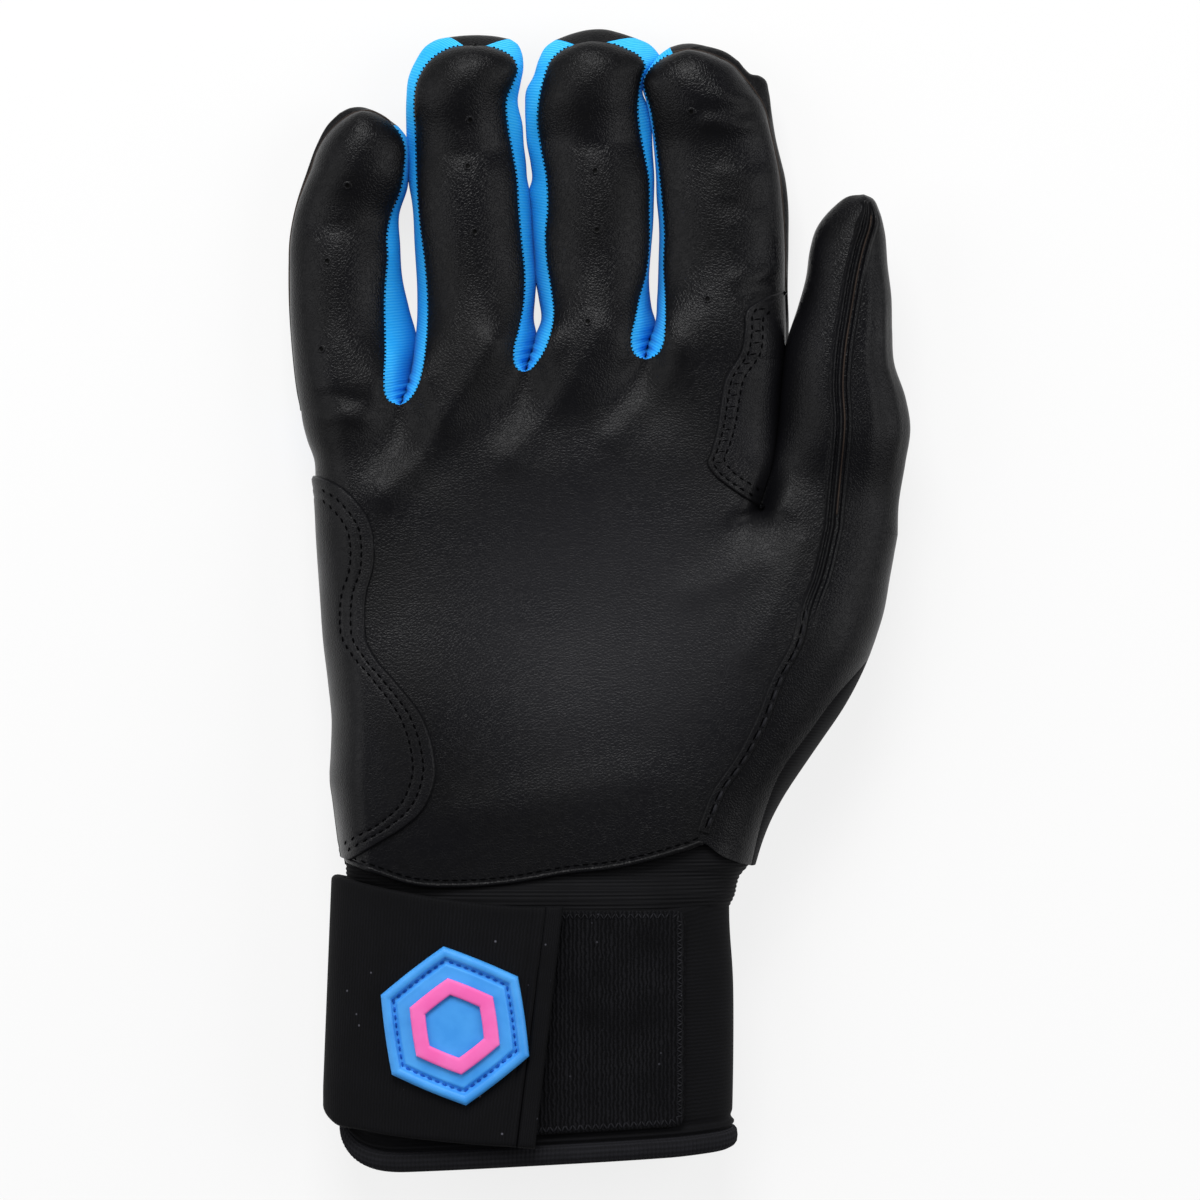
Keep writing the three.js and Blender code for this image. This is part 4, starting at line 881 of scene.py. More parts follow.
thumb_front = panel("thumb_leather", 30, 100, thumb_front_place, PALM_LEATHER)
thumb_outer = panel("thumb_outer_leather", 90, 100, thumb_outer_place, PALM_LEATHER)
for piece, node in ((thumb_front, "thumb_front"), (thumb_outer, "thumb_outer")):
    bend_thumb(piece)
    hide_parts(node)
print("thumb:", thumb_front.name, "and", thumb_outer.name)

# %% [markdown]
# The outer leather goes on down over the ball of the thumb to the wrist. Outside it a narrow matt strip
# shows, made here as a stretch knit. Both come from one rule, a quarter turn from the welt to the side of
# the hand, which is divided at the seam between them.

# %% Ball of the thumb
BALL_SIDE = 0.64  # share of the ball's rows that the matt strip reaches up
ball_edge = through((-60, 34), (-48.8, 36.7), (-38.5, 40.7), (-29.5, 46.8), (-20.5, 52.9), (-13, 58.9),
                    (-9.4, 61.6), (-2.9, 64), (4, 65.5), (19.8, 68))


def ball_place(outside):
    """The ball of the thumb from the welt to the seam (outside 0), or from that seam to the back (1)."""
    def place(across, along):
        along = along * (BALL_SIDE if outside else 1)
        level = hand_level(along)
        seam, side = thumb_seam(level), hand_side(level)
        stop = np.arcsin(np.clip((ball_edge(level) - seam) / (side - seam), 0, 1))
        angle = mix(stop - 0.06, np.pi / 2, across) if outside else across * stop
        x = mix(seam, side, np.sin(angle)) - 0.05 * outside
        y = mix(palm_hem(x), thumb_base(x), along)
        top = palm_top(seam, y) + folds(seam, y)
        sunk = 0.7 * outside * (1 - smooth(across, 0, 0.3)) * smooth(np.pi / 2 - stop, 0, 0.3)
        return stack(x, y, top - (top - SIDE_Z) * (1 - np.cos(angle)) - sunk)
    return place


ball = panel("thumb_ball_leather", 30, 90, ball_place(0), PALM_LEATHER)
ball_side = panel("thumb_ball_side", 10, 90, ball_place(1), RIB_KNIT)
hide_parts("thumb_outer_base")
for piece, finish in ((ball, "leather"), (ball_side, "elastic_knit")):
    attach(piece, "hand")
print("ball of the thumb:", ball.name, "and", ball_side.name)

# %% [markdown]
# The welt is a narrow double fold: two thin ridges with a groove between, and a deeper groove where the
# outer leather turns in. It is one strip laid over the seam.

# %% Welt
WELT_LEFT, WELT_RIGHT = -2.8, 3.0  # how far the strip reaches to both sides of the seam
WELT_END = 0.975  # share of the seam at which it ends, close to the tip


def ridge(offset):
    """Height of the ridges and grooves at a distance from the seam."""
    return (0.75 * np.exp(-((offset + 1.25) / 0.42) ** 2) + 0.95 * np.exp(-(offset / 0.45) ** 2)
            - 0.55 * np.exp(-((offset - 1.15) / 0.5) ** 2) + 0.35 * np.exp(-((offset - 2.1) / 0.6) ** 2))


def welt_edge(across):
    """The strip runs out into the leather at both edges."""
    return smooth(across, 0, 0.16) * (1 - smooth(across, 0.86, 1))


def welt_place(across, along):
    offset = mix(WELT_LEFT, WELT_RIGHT, across)
    share = along * WELT_END
    xy = thumb_welt(share)
    z = thumb_end(on(xy, welt_z(share)))[:, 2]
    fade = 1 - smooth(share, 0.9, WELT_END)
    raised = (0.55 + ridge(offset)) * welt_edge(across) * mix(0.4, 1, fade)
    return stack(xy[:, 0] + offset * mix(0.5, 1, fade), xy[:, 1], z - 0.25 - 0.025 * offset ** 2 + raised)


welt = panel("thumb_welt_leather", 48, 120, welt_place, PALM_LEATHER, thickness=0.5)
bend_thumb(welt)
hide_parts("thumb_welt")
print("welt on the thumb:", welt.name)

# %% Welt on the ball
def ball_seam(along):
    """The seam on the ball of the thumb, from the hem to the base of the thumb."""
    x = thumb_seam(hand_level(along))
    return stack(x, mix(palm_hem(x), thumb_base(x), along))


def low_welt_place(across, along):
    offset = mix(WELT_LEFT, WELT_RIGHT, across)
    x, y = ball_seam(mix(0.035, 1, along)).T
    z = palm_top(x, y) + folds(x, y) - 0.25 - 0.025 * offset ** 2
    fade = smooth(y, -14, 4)
    step = 0.75 * (1 - smooth(offset, 0.1, 0.75))
    raised = mix(step, 0.55 + ridge(offset), fade) * welt_edge(across)
    return stack(x + offset, y - 0.3 * offset * (1 - along), z + raised)


low_welt = panel("thumb_ball_welt", 48, 90, low_welt_place, PALM_LEATHER, thickness=0.5)
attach(low_welt, "hand")
print("welt on the ball:", low_welt.name)

# %% [markdown]
# ## Back of the hand
# The glove lies on its back, so this side is flat. A synthetic leather covers it up to the knuckles, where
# a ribbed stretch band lets the fist close. The real back isn't in the photograph; this is the usual build.

# %% Back of the hand
SQUARE = 2.6  # form of a soft tube on a table: 2 is an oval, and more is nearer to a rectangle
UNDER = 0.2  # how far the back ends below the edge of the palm
TUBE_LOW = 6  # lowest line of the base of the thumb
CROTCH_RISE = 12  # length over which the back rises to the thumb's crotch


def back_z(lane, turn, x, y):
    """Height of the back: an oval section at the wrist, flat further up, and a tube at the thumb's base."""
    right = turn > np.pi / 2
    level = hand_level(np.clip((y - WRIST_Y) / (thumb_base(x) - WRIST_Y), 0, 1))
    left_x, right_x = little_side(level), hand_side(level)
    from_middle = np.clip(np.abs(2 * x - left_x - right_x) / (right_x - left_x), 0, 1)
    edge_z = np.where(2 * x < left_x + right_x, side_z(y), SIDE_Z) - UNDER
    oval = edge_z * (1 - (1 - from_middle ** SQUARE) ** (1 / SQUARE))
    gap = np.clip(np.where(right, lane, lane - 1), 0, 2)
    rise = BACK_Z * smooth(y, CROTCH[gap, 1] - 14, CROTCH[gap, 1])
    rise = np.where((lane == 0) & ~right, side_z(y) - UNDER, rise)
    crotch = (crease_z(y) - UNDER) * smooth(y, THUMB_CROTCH[1] - CROTCH_RISE, THUMB_CROTCH[1])
    rise = np.where((lane == INDEX_LANE) & right | (lane == THUMB_LANE), crotch, rise)
    flat = rise * (1 - np.minimum(1, 1.1 * np.sqrt(np.maximum(np.sin(turn), 0))))
    middle = (thumb_line(level) + right_x) / 2
    away = np.clip(np.abs(x - middle) / (right_x - middle), 0, 1)
    tube_edge = np.where(x > middle, SIDE_Z - UNDER, crotch)
    tube = TUBE_LOW + (tube_edge - TUBE_LOW) * (1 - np.sqrt(1 - away ** 2))
    # The column between the two lanes belongs to the crotch, where the back meets the palm.
    past_crotch = (lane == THUMB_LANE) & (turn > 0.001)
    return mix(oval, np.where(past_crotch, tube, flat), gentle(y, -25, 12))


def wrist_line(x):
    return np.full(x.shape, float(WRIST_Y))


def hand_back_place(across, along):
    lane, turn, x, y = hand_rows(1 - across, along, hand_side, wrist_line)
    return stack(x, y, back_z(lane, turn, x, y))


BAND = 0.848  # share of the rows of the hand at which the knuckle band starts


def knuckle_place(across, along):
    points = hand_back_place(across, mix(BAND, 1, along))
    ribs = 0.25 * np.sin(along * np.pi * 12) * smooth(along, 0, 0.08) * (1 - smooth(along, 0.92, 1))
    points[:, 2] += np.maximum(-0.1 - points[:, 2], ribs * (1 - smooth(points[:, 2], 1, 4)) + 0.3)
    return points


def thumb_side(across, along):
    return across < 1 / LANES - EDGE


def above_back(across, along):
    return (along > BAND + EDGE) | (thumb_side(across, along) & (along > LOW + EDGE))


back = panel("hand_back_leather", 150, 125, hand_back_place, BACK_LEATHER, drop=above_back)
band = panel("knuckle_band_knit", 150, 96, knuckle_place, BLUE_KNIT, drop=thumb_side)
for piece, node, finish in ((back, "back_panel", "back_leather"), (band, "knuckle_band", "stretch_cloth")):
    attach(piece, "hand")
    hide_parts(node)
print("back: 2 pieces")

# %% [markdown]
# ## Cuff
# The cuff is a padded sleeve round the wrist with a bound hem, and a ribbed inset joins it to the hand. All
# three are rings. A ring's outline is between an oval and a rectangle, as a soft tube has when it lies on a
# table.

# %% Cuff rings
CUFF_X, CUFF_HALF, CUFF_LOW, CUFF_HIGH = -13.6, 43.8, 2.7, 33.7  # middle, half width, lowest and highest
CUFF_TALL = (CUFF_HIGH - CUFF_LOW) / 2
HEM_RISE = 4.8  # the hem lies higher on the thumb side


def bulge(wave, power):
    """A sine or cosine drawn towards its ends, which makes a round outline squarer."""
    return np.sign(wave) * np.abs(wave) ** power


def slant(x, rise):
    """How much an edge has risen at x, from nothing at the little-finger side of the cuff."""
    return rise * (x - CUFF_X + CUFF_HALF) / (2 * CUFF_HALF)


def cuff_point(y, turn, off, rise=0):
    """A place at a turn round the cuff, off its outline by a distance."""
    c, s = np.cos(turn), np.sin(turn)
    x = CUFF_X + (CUFF_HALF + off) * bulge(c, 2 / SQUARE)
    z = CUFF_LOW + CUFF_TALL + (CUFF_TALL + off + (s < 0)) * bulge(s, 2 / SQUARE)
    return stack(x, y + slant(x, rise), np.maximum(z, CUFF_LOW - off))


def cuff_top(x, off):
    """Height of the upper side of the cuff at x."""
    wide = np.clip(np.abs(x - CUFF_X) / (CUFF_HALF + off), 0, 1)
    return CUFF_LOW + CUFF_TALL + (CUFF_TALL + off) * (1 - wide ** SQUARE) ** (1 / SQUARE)


def even_turns(share):
    """Turns round the ring at even steps along its outline."""
    turns = np.linspace(0, 2 * np.pi, 2001)
    outline = cuff_point(0, turns, 0)
    length = run_length(outline)
    return np.interp(share * length[-1], length, turns)


def side_rise(turn):
    """How far the hem draws up towards the sides and the shorter back of the cuff."""
    drawn = smooth(0.85 - bulge(np.sin(turn), 2 / SQUARE), 0, 0.85)
    return 8 * drawn * (1 - 0.85 * smooth(np.cos(turn), 0.3, 0.95))


RIB_LOW, RIB_HIGH, RIB_STEP = -79, -51, 1.0  # ends of the inset, and from one rib to the next
right_flare = through((RIB_LOW, 0), (-71, 0.3), (-66.4, 2.4), (-64, 2.9), (-62.5, 3.4), (-60, 5.4),
                      (RIB_HIGH, 5.8))


def rib_place(across, along):
    """The inset opens towards the hand, so that it fills the mouth of the hand from side to side."""
    y, turn = mix(RIB_LOW, RIB_HIGH, along), even_turns(1 - across)
    c, s = np.cos(turn), np.sin(turn)
    ribs = 0.1 * np.sin(2 * np.pi * (y + 1.5 * s) / RIB_STEP)
    inside = smooth(y, -70, -61)
    others = np.maximum(1.5 * smooth(-c, 0.5, 0.95), 3.6 * smooth(-s, 0.2, 0.8))
    flare = np.maximum(right_flare(y) * smooth(c, 0.4, 0.95), inside * others)
    under_palm = 2.4 * smooth(y, -68, -58) * smooth(s, 0.25, 0.8)
    return cuff_point(y, turn, -2.1 + flare - under_palm + ribs)


SLEEVE_LOW, SLEEVE_HIGH, HEM_Y = -124.7, -69.4, -126.5  # ends of the sleeve, and middle of the binding
HEM_RIBS = 220


def sleeve_place(across, along):
    """The sleeve is full in the middle, thinner at its upper edge, and folded where the hem is sewn on."""
    turn = even_turns(1 - across)
    level = mix(SLEEVE_LOW, SLEEVE_HIGH, along)
    corner = 4 * along ** 6 * smooth(cuff_point(0, turn, 0)[:, 0], 14, 31)
    rise = mix(HEM_RISE, 0, smooth(along, 0.1, 1))
    pad = 0.5 * np.sin(along * np.pi) ** 0.5 - 0.9 * smooth(along, 0.965, 1) ** 2
    pad = pad - 0.7 * mound(0, level, 0, -74, 1, 9)
    fold = 0.55 * mound(0, level, 0, -123.3, 1, 0.6) - 0.35 * mound(0, level, 0, -121.8, 1, 0.8)
    return cuff_point(level + corner + side_rise(turn) * (1 - along) ** 2, turn, pad + fold - 0.5, rise)


def hem_place(across, along):
    """The binding is a flat tube round the lower edge, ribbed all the way round."""
    angle = along * 2 * np.pi
    ribs = 0.14 * np.sin(across * 2 * np.pi * HEM_RIBS)
    off = -0.7 + (1.5 + ribs) * np.cos(angle)
    level = HEM_Y - 2.3 * bulge(np.sin(angle), 0.7)
    turn = even_turns(across)
    return cuff_point(level + side_rise(turn), turn, off, HEM_RISE)


wrist_rib = panel("wrist_rib_knit", 240, 150, rib_place, RIB_KNIT, thickness=1.0, join=True)
sleeve = panel("cuff_sleeve_knit", 240, 140, sleeve_place, SLEEVE_KNIT, thickness=1.8, join=True)
hem = panel("cuff_hem_binding", 1200, 14, hem_place, BINDING_KNIT, thickness=0, join=True)
for piece, node in ((wrist_rib, "wrist_rib"), (sleeve, "cuff_sleeve"), (hem, "cuff_hem")):
    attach(piece, "hand")
    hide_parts(node)
print("cuff: 3 rings")

# %% [markdown]
# ## Strap and closure
# The strap is a stiff band of fine knit over foam, sewn round the little-finger side of the cuff. Its free
# end comes across the wrist and grips the loop pad with the hook tape below it. A band with round edges is
# one closed form: the rows of its grid run round the section, and the section closes at both ends.

# %% Band helper
def rounded(distance, radius):
    """Height share of a rounded cut edge at a distance from it."""
    return np.sqrt(1 - (1 - np.clip(distance / radius, 0, 1)) ** 2)


FLAT = 0.86  # share of the points of a section that lies on its flat sides, and not on its round edges


def stadium(share, radius, width):
    """Round a flat section: share across from 0 to 1 and height from -1 to 1."""
    t = share * 2
    under = t >= 1
    t = np.where(under, t - 1, t)
    flat = np.clip(t / FLAT, 0, 1)
    arc = np.clip((t - FLAT) / (1 - FLAT), 0, 1) * np.pi
    across = (radius + flat * (width - 2 * radius) + radius * np.sin(arc)) / width
    return np.where(under, 1 - across, across), np.where(under, -1, 1) * np.cos(arc)


def slab(name, columns, rows, spot, width, length, radius, material, square_start=False):
    """A closed band with round edges. spot(across, along, height) gives a place, with height from -1 to 1. A
    square start is cut straight, so that it lies flush against the band that it goes on from."""
    def place(around, along):
        across, height = stadium(around, radius, width)
        if square_start:
            cap, along = along > 0.5 / rows, np.maximum(along - 1 / rows, 0) / (1 - 1 / rows)
        ends = rounded((1 - along) * length, radius)
        ends = ends * (cap if square_start else rounded(along * length, radius))
        return spot(across, along, height * ends)
    return panel(name, columns, rows, place, material, thickness=0, join=True)

# %% Strap lines
flap_top = through((-62, -61.8), (-59.6, -62.1), (-48.6, -64.4), (-35.3, -66.6), (-16.9, -68.4),
                   (-7.9, -68.4))
flap_bottom = through((-63, -110.5), (-61.9, -112), (-60.6, -114.4), (-58, -117), (-51.3, -118.6),
                      (-34, -120.8), (-14, -122.2))
END_LOW, END_HIGH = -122.2, -68.4  # corners of the loose end
flap_end = through((END_LOW, -14.2), (END_HIGH, -7.9))
BAND_WIDTH = 3.9  # width of the band at the loose end
SEAM_BESIDE = 2.3  # distance of the sunk seam from that band
FOLD_TOP, FOLD_LENGTH = -62, 48  # upper end and length of the fold at the little-finger side
turn_table = np.linspace(0, 1, 1001)
x_table = cuff_point(0, even_turns(turn_table), 0)[:, 0]
upper_half = even_turns(turn_table) < np.pi


def share_of_x(x):
    """Share round the cuff at which its upper side has this x."""
    order = np.argsort(x_table[upper_half])
    return np.interp(x, x_table[upper_half][order], turn_table[upper_half][order])


def fold_lean(x, y):
    """The fold of the strap leans outwards towards the hem."""
    return -1.9 * np.clip((FOLD_TOP - y) / FOLD_LENGTH, 0, 1) * smooth(-x, 36, 58)


def strap_spot(start, end_of, lift, thick):
    """A place on the strap: from a share round the cuff to the x where it ends at that height."""
    def spot(across, along, height):
        guess = mix(-120, -67, 1 - across)
        share = mix(start, share_of_x(end_of(guess)), along)
        base = cuff_point(0, even_turns(share), 0)
        off = lift(base[:, 0]) + thick / 2 * (1 + height)
        p = cuff_point(0, even_turns(share), off)
        y = mix(flap_bottom(p[:, 0]), flap_top(p[:, 0]), 1 - across)
        beside = p[:, 0] - flap_end(y) + BAND_WIDTH + SEAM_BESIDE
        seam = 0.35 * np.exp(-(beside / 0.55) ** 2) * (height > 0)
        return stack(p[:, 0] + fold_lean(p[:, 0], y), y, p[:, 2] - seam)
    return spot


def flap_lift(x):
    """Distance of the flap from the cuff: it climbs from the fold onto the pads below it."""
    return mix(0.3, 2.7, smooth(x, -57, -36))


def webbing_end(y):
    return flap_end(y) - BAND_WIDTH

# %% Flap
START = 0.462  # share round the cuff at which the flap goes on from the sewn part
flap = slab("strap_flap_webbing", 120, 140, strap_spot(START, webbing_end, flap_lift, thick=2.4),
            width=54, length=60, radius=0.8, material=STRAP_KNIT, square_start=True)
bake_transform(flap)
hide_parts("strap_flap")


def end_spot(across, along, height):
    """A place on the band at the loose end, a little wider than the webbing and laid over its edge."""
    x = flap_end(mix(END_LOW, END_HIGH, 1 - across)) - (BAND_WIDTH + 0.2) * (1 - along)
    y = mix(flap_bottom(x) - 0.1, flap_top(x) + 0.1, 1 - across)
    return stack(x, y, cuff_top(x, 2.6 + 1.3 * (1 + height)))


end_band = slab("strap_end_band", 120, 14, end_spot, width=54, length=BAND_WIDTH, radius=0.9,
                material=STRAP_KNIT)
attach(end_band, "strap")
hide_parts("strap_end_binding")
print("flap:", flap.name, "and", end_band.name)

# %% Sewn part of the strap
WRAP_BOTTOM, WRAP_TOP = -115.65, -63.12  # edges of the sewn part at the back, straight round the cuff
WRAP_STOP = 0.80  # share round the cuff at which it ends


def wrap_spot(across, along, height):
    """A place on the sewn part, which goes on from the flap and straightens behind the cuff."""
    turn = even_turns(mix(START, WRAP_STOP, along))
    p = cuff_point(0, turn, 0.3 + 1.2 * (1 + height))
    behind = gentle(turn, np.pi, 1.25 * np.pi)
    bottom = mix(flap_bottom(p[:, 0]), WRAP_BOTTOM, behind)
    y = mix(bottom, mix(flap_top(p[:, 0]), WRAP_TOP, behind), across)
    return stack(p[:, 0] + fold_lean(p[:, 0], y), y, p[:, 2])


wrap = slab("strap_wrap_webbing", 110, 70, wrap_spot, width=52, length=80, radius=1.2, material=STRAP_KNIT,
            square_start=True)
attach(wrap, "hand")
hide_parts("strap_wrap")
print("sewn part:", wrap.name)

# %% Pads
PAD_BOTTOM = -121.8  # lower edge of the loop pad at the little-finger side


def pad_spot(left, right, bottom, top, rise, corner, low, thick):
    """A pad on the cuff with two round corners at its right end, low above the outline of the cuff."""
    def spot(across, along, height):
        x = mix(left, right, along)
        cut = corner - np.sqrt(np.maximum(corner ** 2 - np.clip(x - right + corner, 0, corner) ** 2, 0))
        y = mix(bottom + slant(x, rise) + cut, top - cut, 1 - across)
        return stack(x, y, cuff_top(x, low + thick / 2 * (1 + height)))
    return spot


loop_spot = pad_spot(left=-38, right=19.2, bottom=PAD_BOTTOM, top=-69.6, rise=HEM_RISE, corner=2.4, low=0.1,
                     thick=1.2)
loop_pad = slab("loop_pad_pile", 120, 64, loop_spot, width=50, length=57, radius=0.6, material=LOOP_PILE)
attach(loop_pad, "hand")
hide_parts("loop_pad")
hook_spot = pad_spot(left=-36, right=-19, bottom=-115, top=-73, rise=0, corner=2, low=1.7, thick=0.8)
hook_pad = slab("hook_pad_tape", 60, 24, hook_spot, width=42, length=17, radius=0.4, material=HOOK_TAPE)
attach(hook_pad, "strap")
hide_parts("hook_pad")
print("pads:", loop_pad.name, "and", hook_pad.name)

# %% [markdown]
# The badge is a moulded patch on the flap. Its face is a plain hexagon: a rim, a sunk groove and a raised
# field, with a pink ring standing on it. Rings of points from the middle to the edge give the section of
# the moulding.

# %% Badge
BADGE_X, BADGE_Y, BADGE_TILT = -32, -94.9, math.radians(98)
BADGE_LIFT = 5.3  # distance from the cuff at which its heights are 0


def hexagon(turn, sharp=0.9):
    """Reach of a hexagon with slightly round corners in each direction, 1 at its corners."""
    inner = np.cos(np.pi / 6)
    away = np.mod(turn, np.pi / 3) - np.pi / 6
    return mix(1, inner / np.cos(away), sharp)


def badge_xy(reach, turn):
    """Where a distance from the middle of the badge leads to, in a direction."""
    return BADGE_X + reach * np.cos(turn + BADGE_TILT), BADGE_Y + reach * np.sin(turn + BADGE_TILT)


def badge_place(section):
    """The rule of a piece of the badge: section(along) gives distances from its middle and heights."""
    def place(across, along):
        turn = across * 2 * np.pi
        reach, up = section(along)
        x, y = badge_xy(reach * hexagon(turn), turn)
        return stack(x, y, cuff_top(x, BADGE_LIFT + up))
    return place


rim_section = line((0, 1.25), (12.9, 1.25), (13.8, 1.2), (14.3, 0.5), (15, 0.5), (15.5, 1.5), (16.1, 1.75),
                   (17, 1.7), (17.6, 1.2), (17.8, 0.3), (17.8, -0.4))


def base_section(along):
    return rim_section(1 - along).T


def ring_section(along):
    angle = (1 - along) * 2 * np.pi
    return 8.9 + 1.9 * bulge(np.cos(angle), 0.5), 1.7 + 0.75 * bulge(np.sin(angle), 0.5)


badge = panel("badge_rubber", 240, 60, badge_place(base_section), BLUE_RUBBER, thickness=0, join=True)
ring = panel("badge_ring_rubber", 180, 24, badge_place(ring_section), PINK_RUBBER, thickness=0, join=True)
for piece, node, finish in ((badge, "badge_base", "blue_rubber"), (ring, "badge_emblem", "pink_rubber")):
    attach(piece, "strap")
    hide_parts(node)
print("badge: 2 pieces")

# %% [markdown]
# ## Patches on the palm
# Two patches of a firmer leather are sewn on where the bat rubs: one on the heel of the hand, which goes
# round to the little-finger side, and one at the base of the index finger. A patch lies on the palm, so its
# rule asks for the height of the palm below it. Its cut edge is rounded and stands up a little.

# %% Heel patch
def palm_height(x, y):
    """Height of the palm leather at any place, and how far it has turned to the little-finger side there."""
    low = (y - palm_hem(x)) / (THUMB_CROTCH[1] - palm_hem(x))
    level = np.where(low < 1, hand_level(low), y)
    edges = lane_edges(level, thumb_seam)
    pick = np.arange(len(x))
    lane = np.clip((edges <= x).sum(axis=0) - 1, 0, np.where(low < 1, THUMB_LANE, INDEX_LANE))
    share = np.clip((x - edges[lane, pick]) / (edges[lane + 1, pick] - edges[lane, pick]), 0, 1)
    turn = np.where(lane == THUMB_LANE, np.arccos(1 - share), np.arccos(1 - 2 * share))
    return front_z(lane, turn, x, y, palm_top(x, y), 0), np.where(lane == 0, turn, np.pi / 2)


heel_edge = line((-64.2, 27.6), (-61, 26.6), (-58.1, 25.2), (-53.8, 21.2), (-50.9, 16.2), (-50.2, 11.5),
                 (-50.4, 6.5), (-51.8, 1.4), (-52.2, -4.7), (-51.8, -9.5), (-49.3, -14), (-45.2, -18.7),
                 (-38.9, -27.2), (-36.5, -35.3), (-36.2, -38.9), (-37.1, -43.2), (-39.4, -47.7),
                 (-43.4, -51.3), (-49, -54.7), (-55, -58.4))


def heel_side(along):
    """The little-finger side of the hand beside the heel patch."""
    y = mix(27.4, -58.2, along)
    return stack(little_side(y), y)


def heel_spot(inside, along):
    """A place on the heel patch: inside is the distance from its edge, in shares of the way to the side."""
    edge, side = heel_edge(along), heel_side(along)
    bow_out = np.sin(np.clip(inside, 0, 1) * np.pi / 2)
    return mix(edge, side, bow_out[:, None]), np.linalg.norm(edge - side, axis=1) * bow_out


HEEL_ROWS = (3, 5.3)  # distances of the two rows of stitches from the edge


def grooves(distance, rows):
    """Furrows into which rows of stitches pull the leather."""
    return sum(np.exp(-((distance - row) / 0.45) ** 2) for row in rows)


def heel_place(across, along):
    xy, distance = heel_spot(1 - across, 1 - along)
    z, turn = palm_height(*xy.T)
    lift = 0.95 * rounded(distance, 0.9) - 0.16 * grooves(distance, HEEL_ROWS) - 0.05
    lean = np.where(turn < np.pi / 2, np.cos(turn), 0)
    return stack(xy[:, 0] - lift * lean, xy[:, 1], z + lift * np.sqrt(1 - lean ** 2))


heel = panel("heel_patch_leather", 110, 130, heel_place, PATCH_LEATHER, thickness=0.8)
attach(heel, "hand")
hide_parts("heel_patch")
print("heel patch:", len(heel.data.polygons), "faces")

# %% Index patch
index_edge = line((36.9, 19.9), (35.6, 20.6), (29.7, 24.2), (25.2, 28), (24.1, 29.9), (25, 32.9),
                  (26.3, 37.8), (27.2, 43.9), (28.1, 48.8), (32, 55.8), (32.6, 60), (33, 64.4), (36, 66.8),
                  (42.2, 69.4))


def index_height(x, y):
    """Height of the leather of the hand or the index finger at any place near the patch."""
    finger = FINGERS["index"]
    shares = np.linspace(0, 1, 300)
    lines = [finger[side](shares) for side in ("seam_left", "seam_right")]
    left, right = (np.interp(y, p[:200, 1], p[:200, 0]) for p in lines)
    along = np.interp(y, lines[1][:, 1], shares)
    share = np.clip((x - left) / (right - left), 0, 1)
    high = finger_z(finger, np.arccos(1 - 2 * share), x, y, along)
    return mix(palm_height(x, y)[0], high, smooth(y, 50, 54))


INDEX_ROWS = (1.5, 4)


def index_patch_side(along):
    """The side of the hand and of the index finger beside the patch."""
    y = mix(20.2, 69, along)
    return stack(np.where(y < INDEX_BASE[1], index_side(y), INDEX_BASE[0]) - 0.4, y)


def index_place(across, along):
    edge = index_edge(along)
    xy = mix(edge, index_patch_side(along), np.sin(across * np.pi / 2)[:, None])
    distance = np.linalg.norm(xy - edge, axis=1)
    lift = 0.85 * rounded(distance, 0.8) - 0.15 * grooves(distance, INDEX_ROWS)
    return stack(xy[:, 0], xy[:, 1], index_height(*xy.T) + lift)


index_patch = panel("index_patch_leather", 60, 100, index_place, PATCH_LEATHER, thickness=0.8)
bend(index_patch, "index")
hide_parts("index_patch_palm", "index_patch_finger")
print("index patch:", len(index_patch.data.polygons), "faces")

# %% [markdown]
# ## Crotch webs
# Where two fingers part, the blue strips of both run into one another under the leather. A small curved web
# closes the bottom of each gap.

# %% Webs
WEB_HALF, WEB_INSET = 3.4, 5.6  # half width of a web, and its distance from the table and from the palm
for (x0, y0), node in zip(CROTCH, ("web_little_ring", "web_ring_middle", "web_middle_index")):
    def web_place(across, along, x0=x0, y0=y0):
        away = mix(WEB_HALF, -WEB_HALF, across)
        top = palm_top(x0, y0) - WEB_INSET
        return stack(x0 + away, y0 + 0.1 + 0.16 * away ** 2, mix(WEB_INSET, top, along))
    web = panel(node + "_knit", 16, 12, web_place, BLUE_KNIT, thickness=0.8)
    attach(web, "hand")
    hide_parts(node)
print("webs:", len(CROTCH))

# %% [markdown]
# ## Stitches
# A stitch is a short thread that dips into the leather at both ends. It starts as a small sphere with few
# faces, which is drawn out to an egg and copied along a seam into one piece per seam. The rows on the
# patches, the hem and the thumb seam lie along the seam. The overcast edge of the stretch knit has short
# stitches across it, which give the leather its scalloped line there.

# %% Stitch helper
def unit(rows):
    """Directions of length 1."""
    return rows / np.linalg.norm(rows, axis=1)[:, None]


def even(points, step):
    """Places at even steps along a line of points, and the directions there."""
    length = run_length(points)
    at = np.arange(step / 2, length[-1], step)
    places, ahead = ([np.interp(at, length, row) for row in rows]
                     for rows in (points.T, np.gradient(points, length, axis=0).T))
    return stack(*places), unit(stack(*ahead))


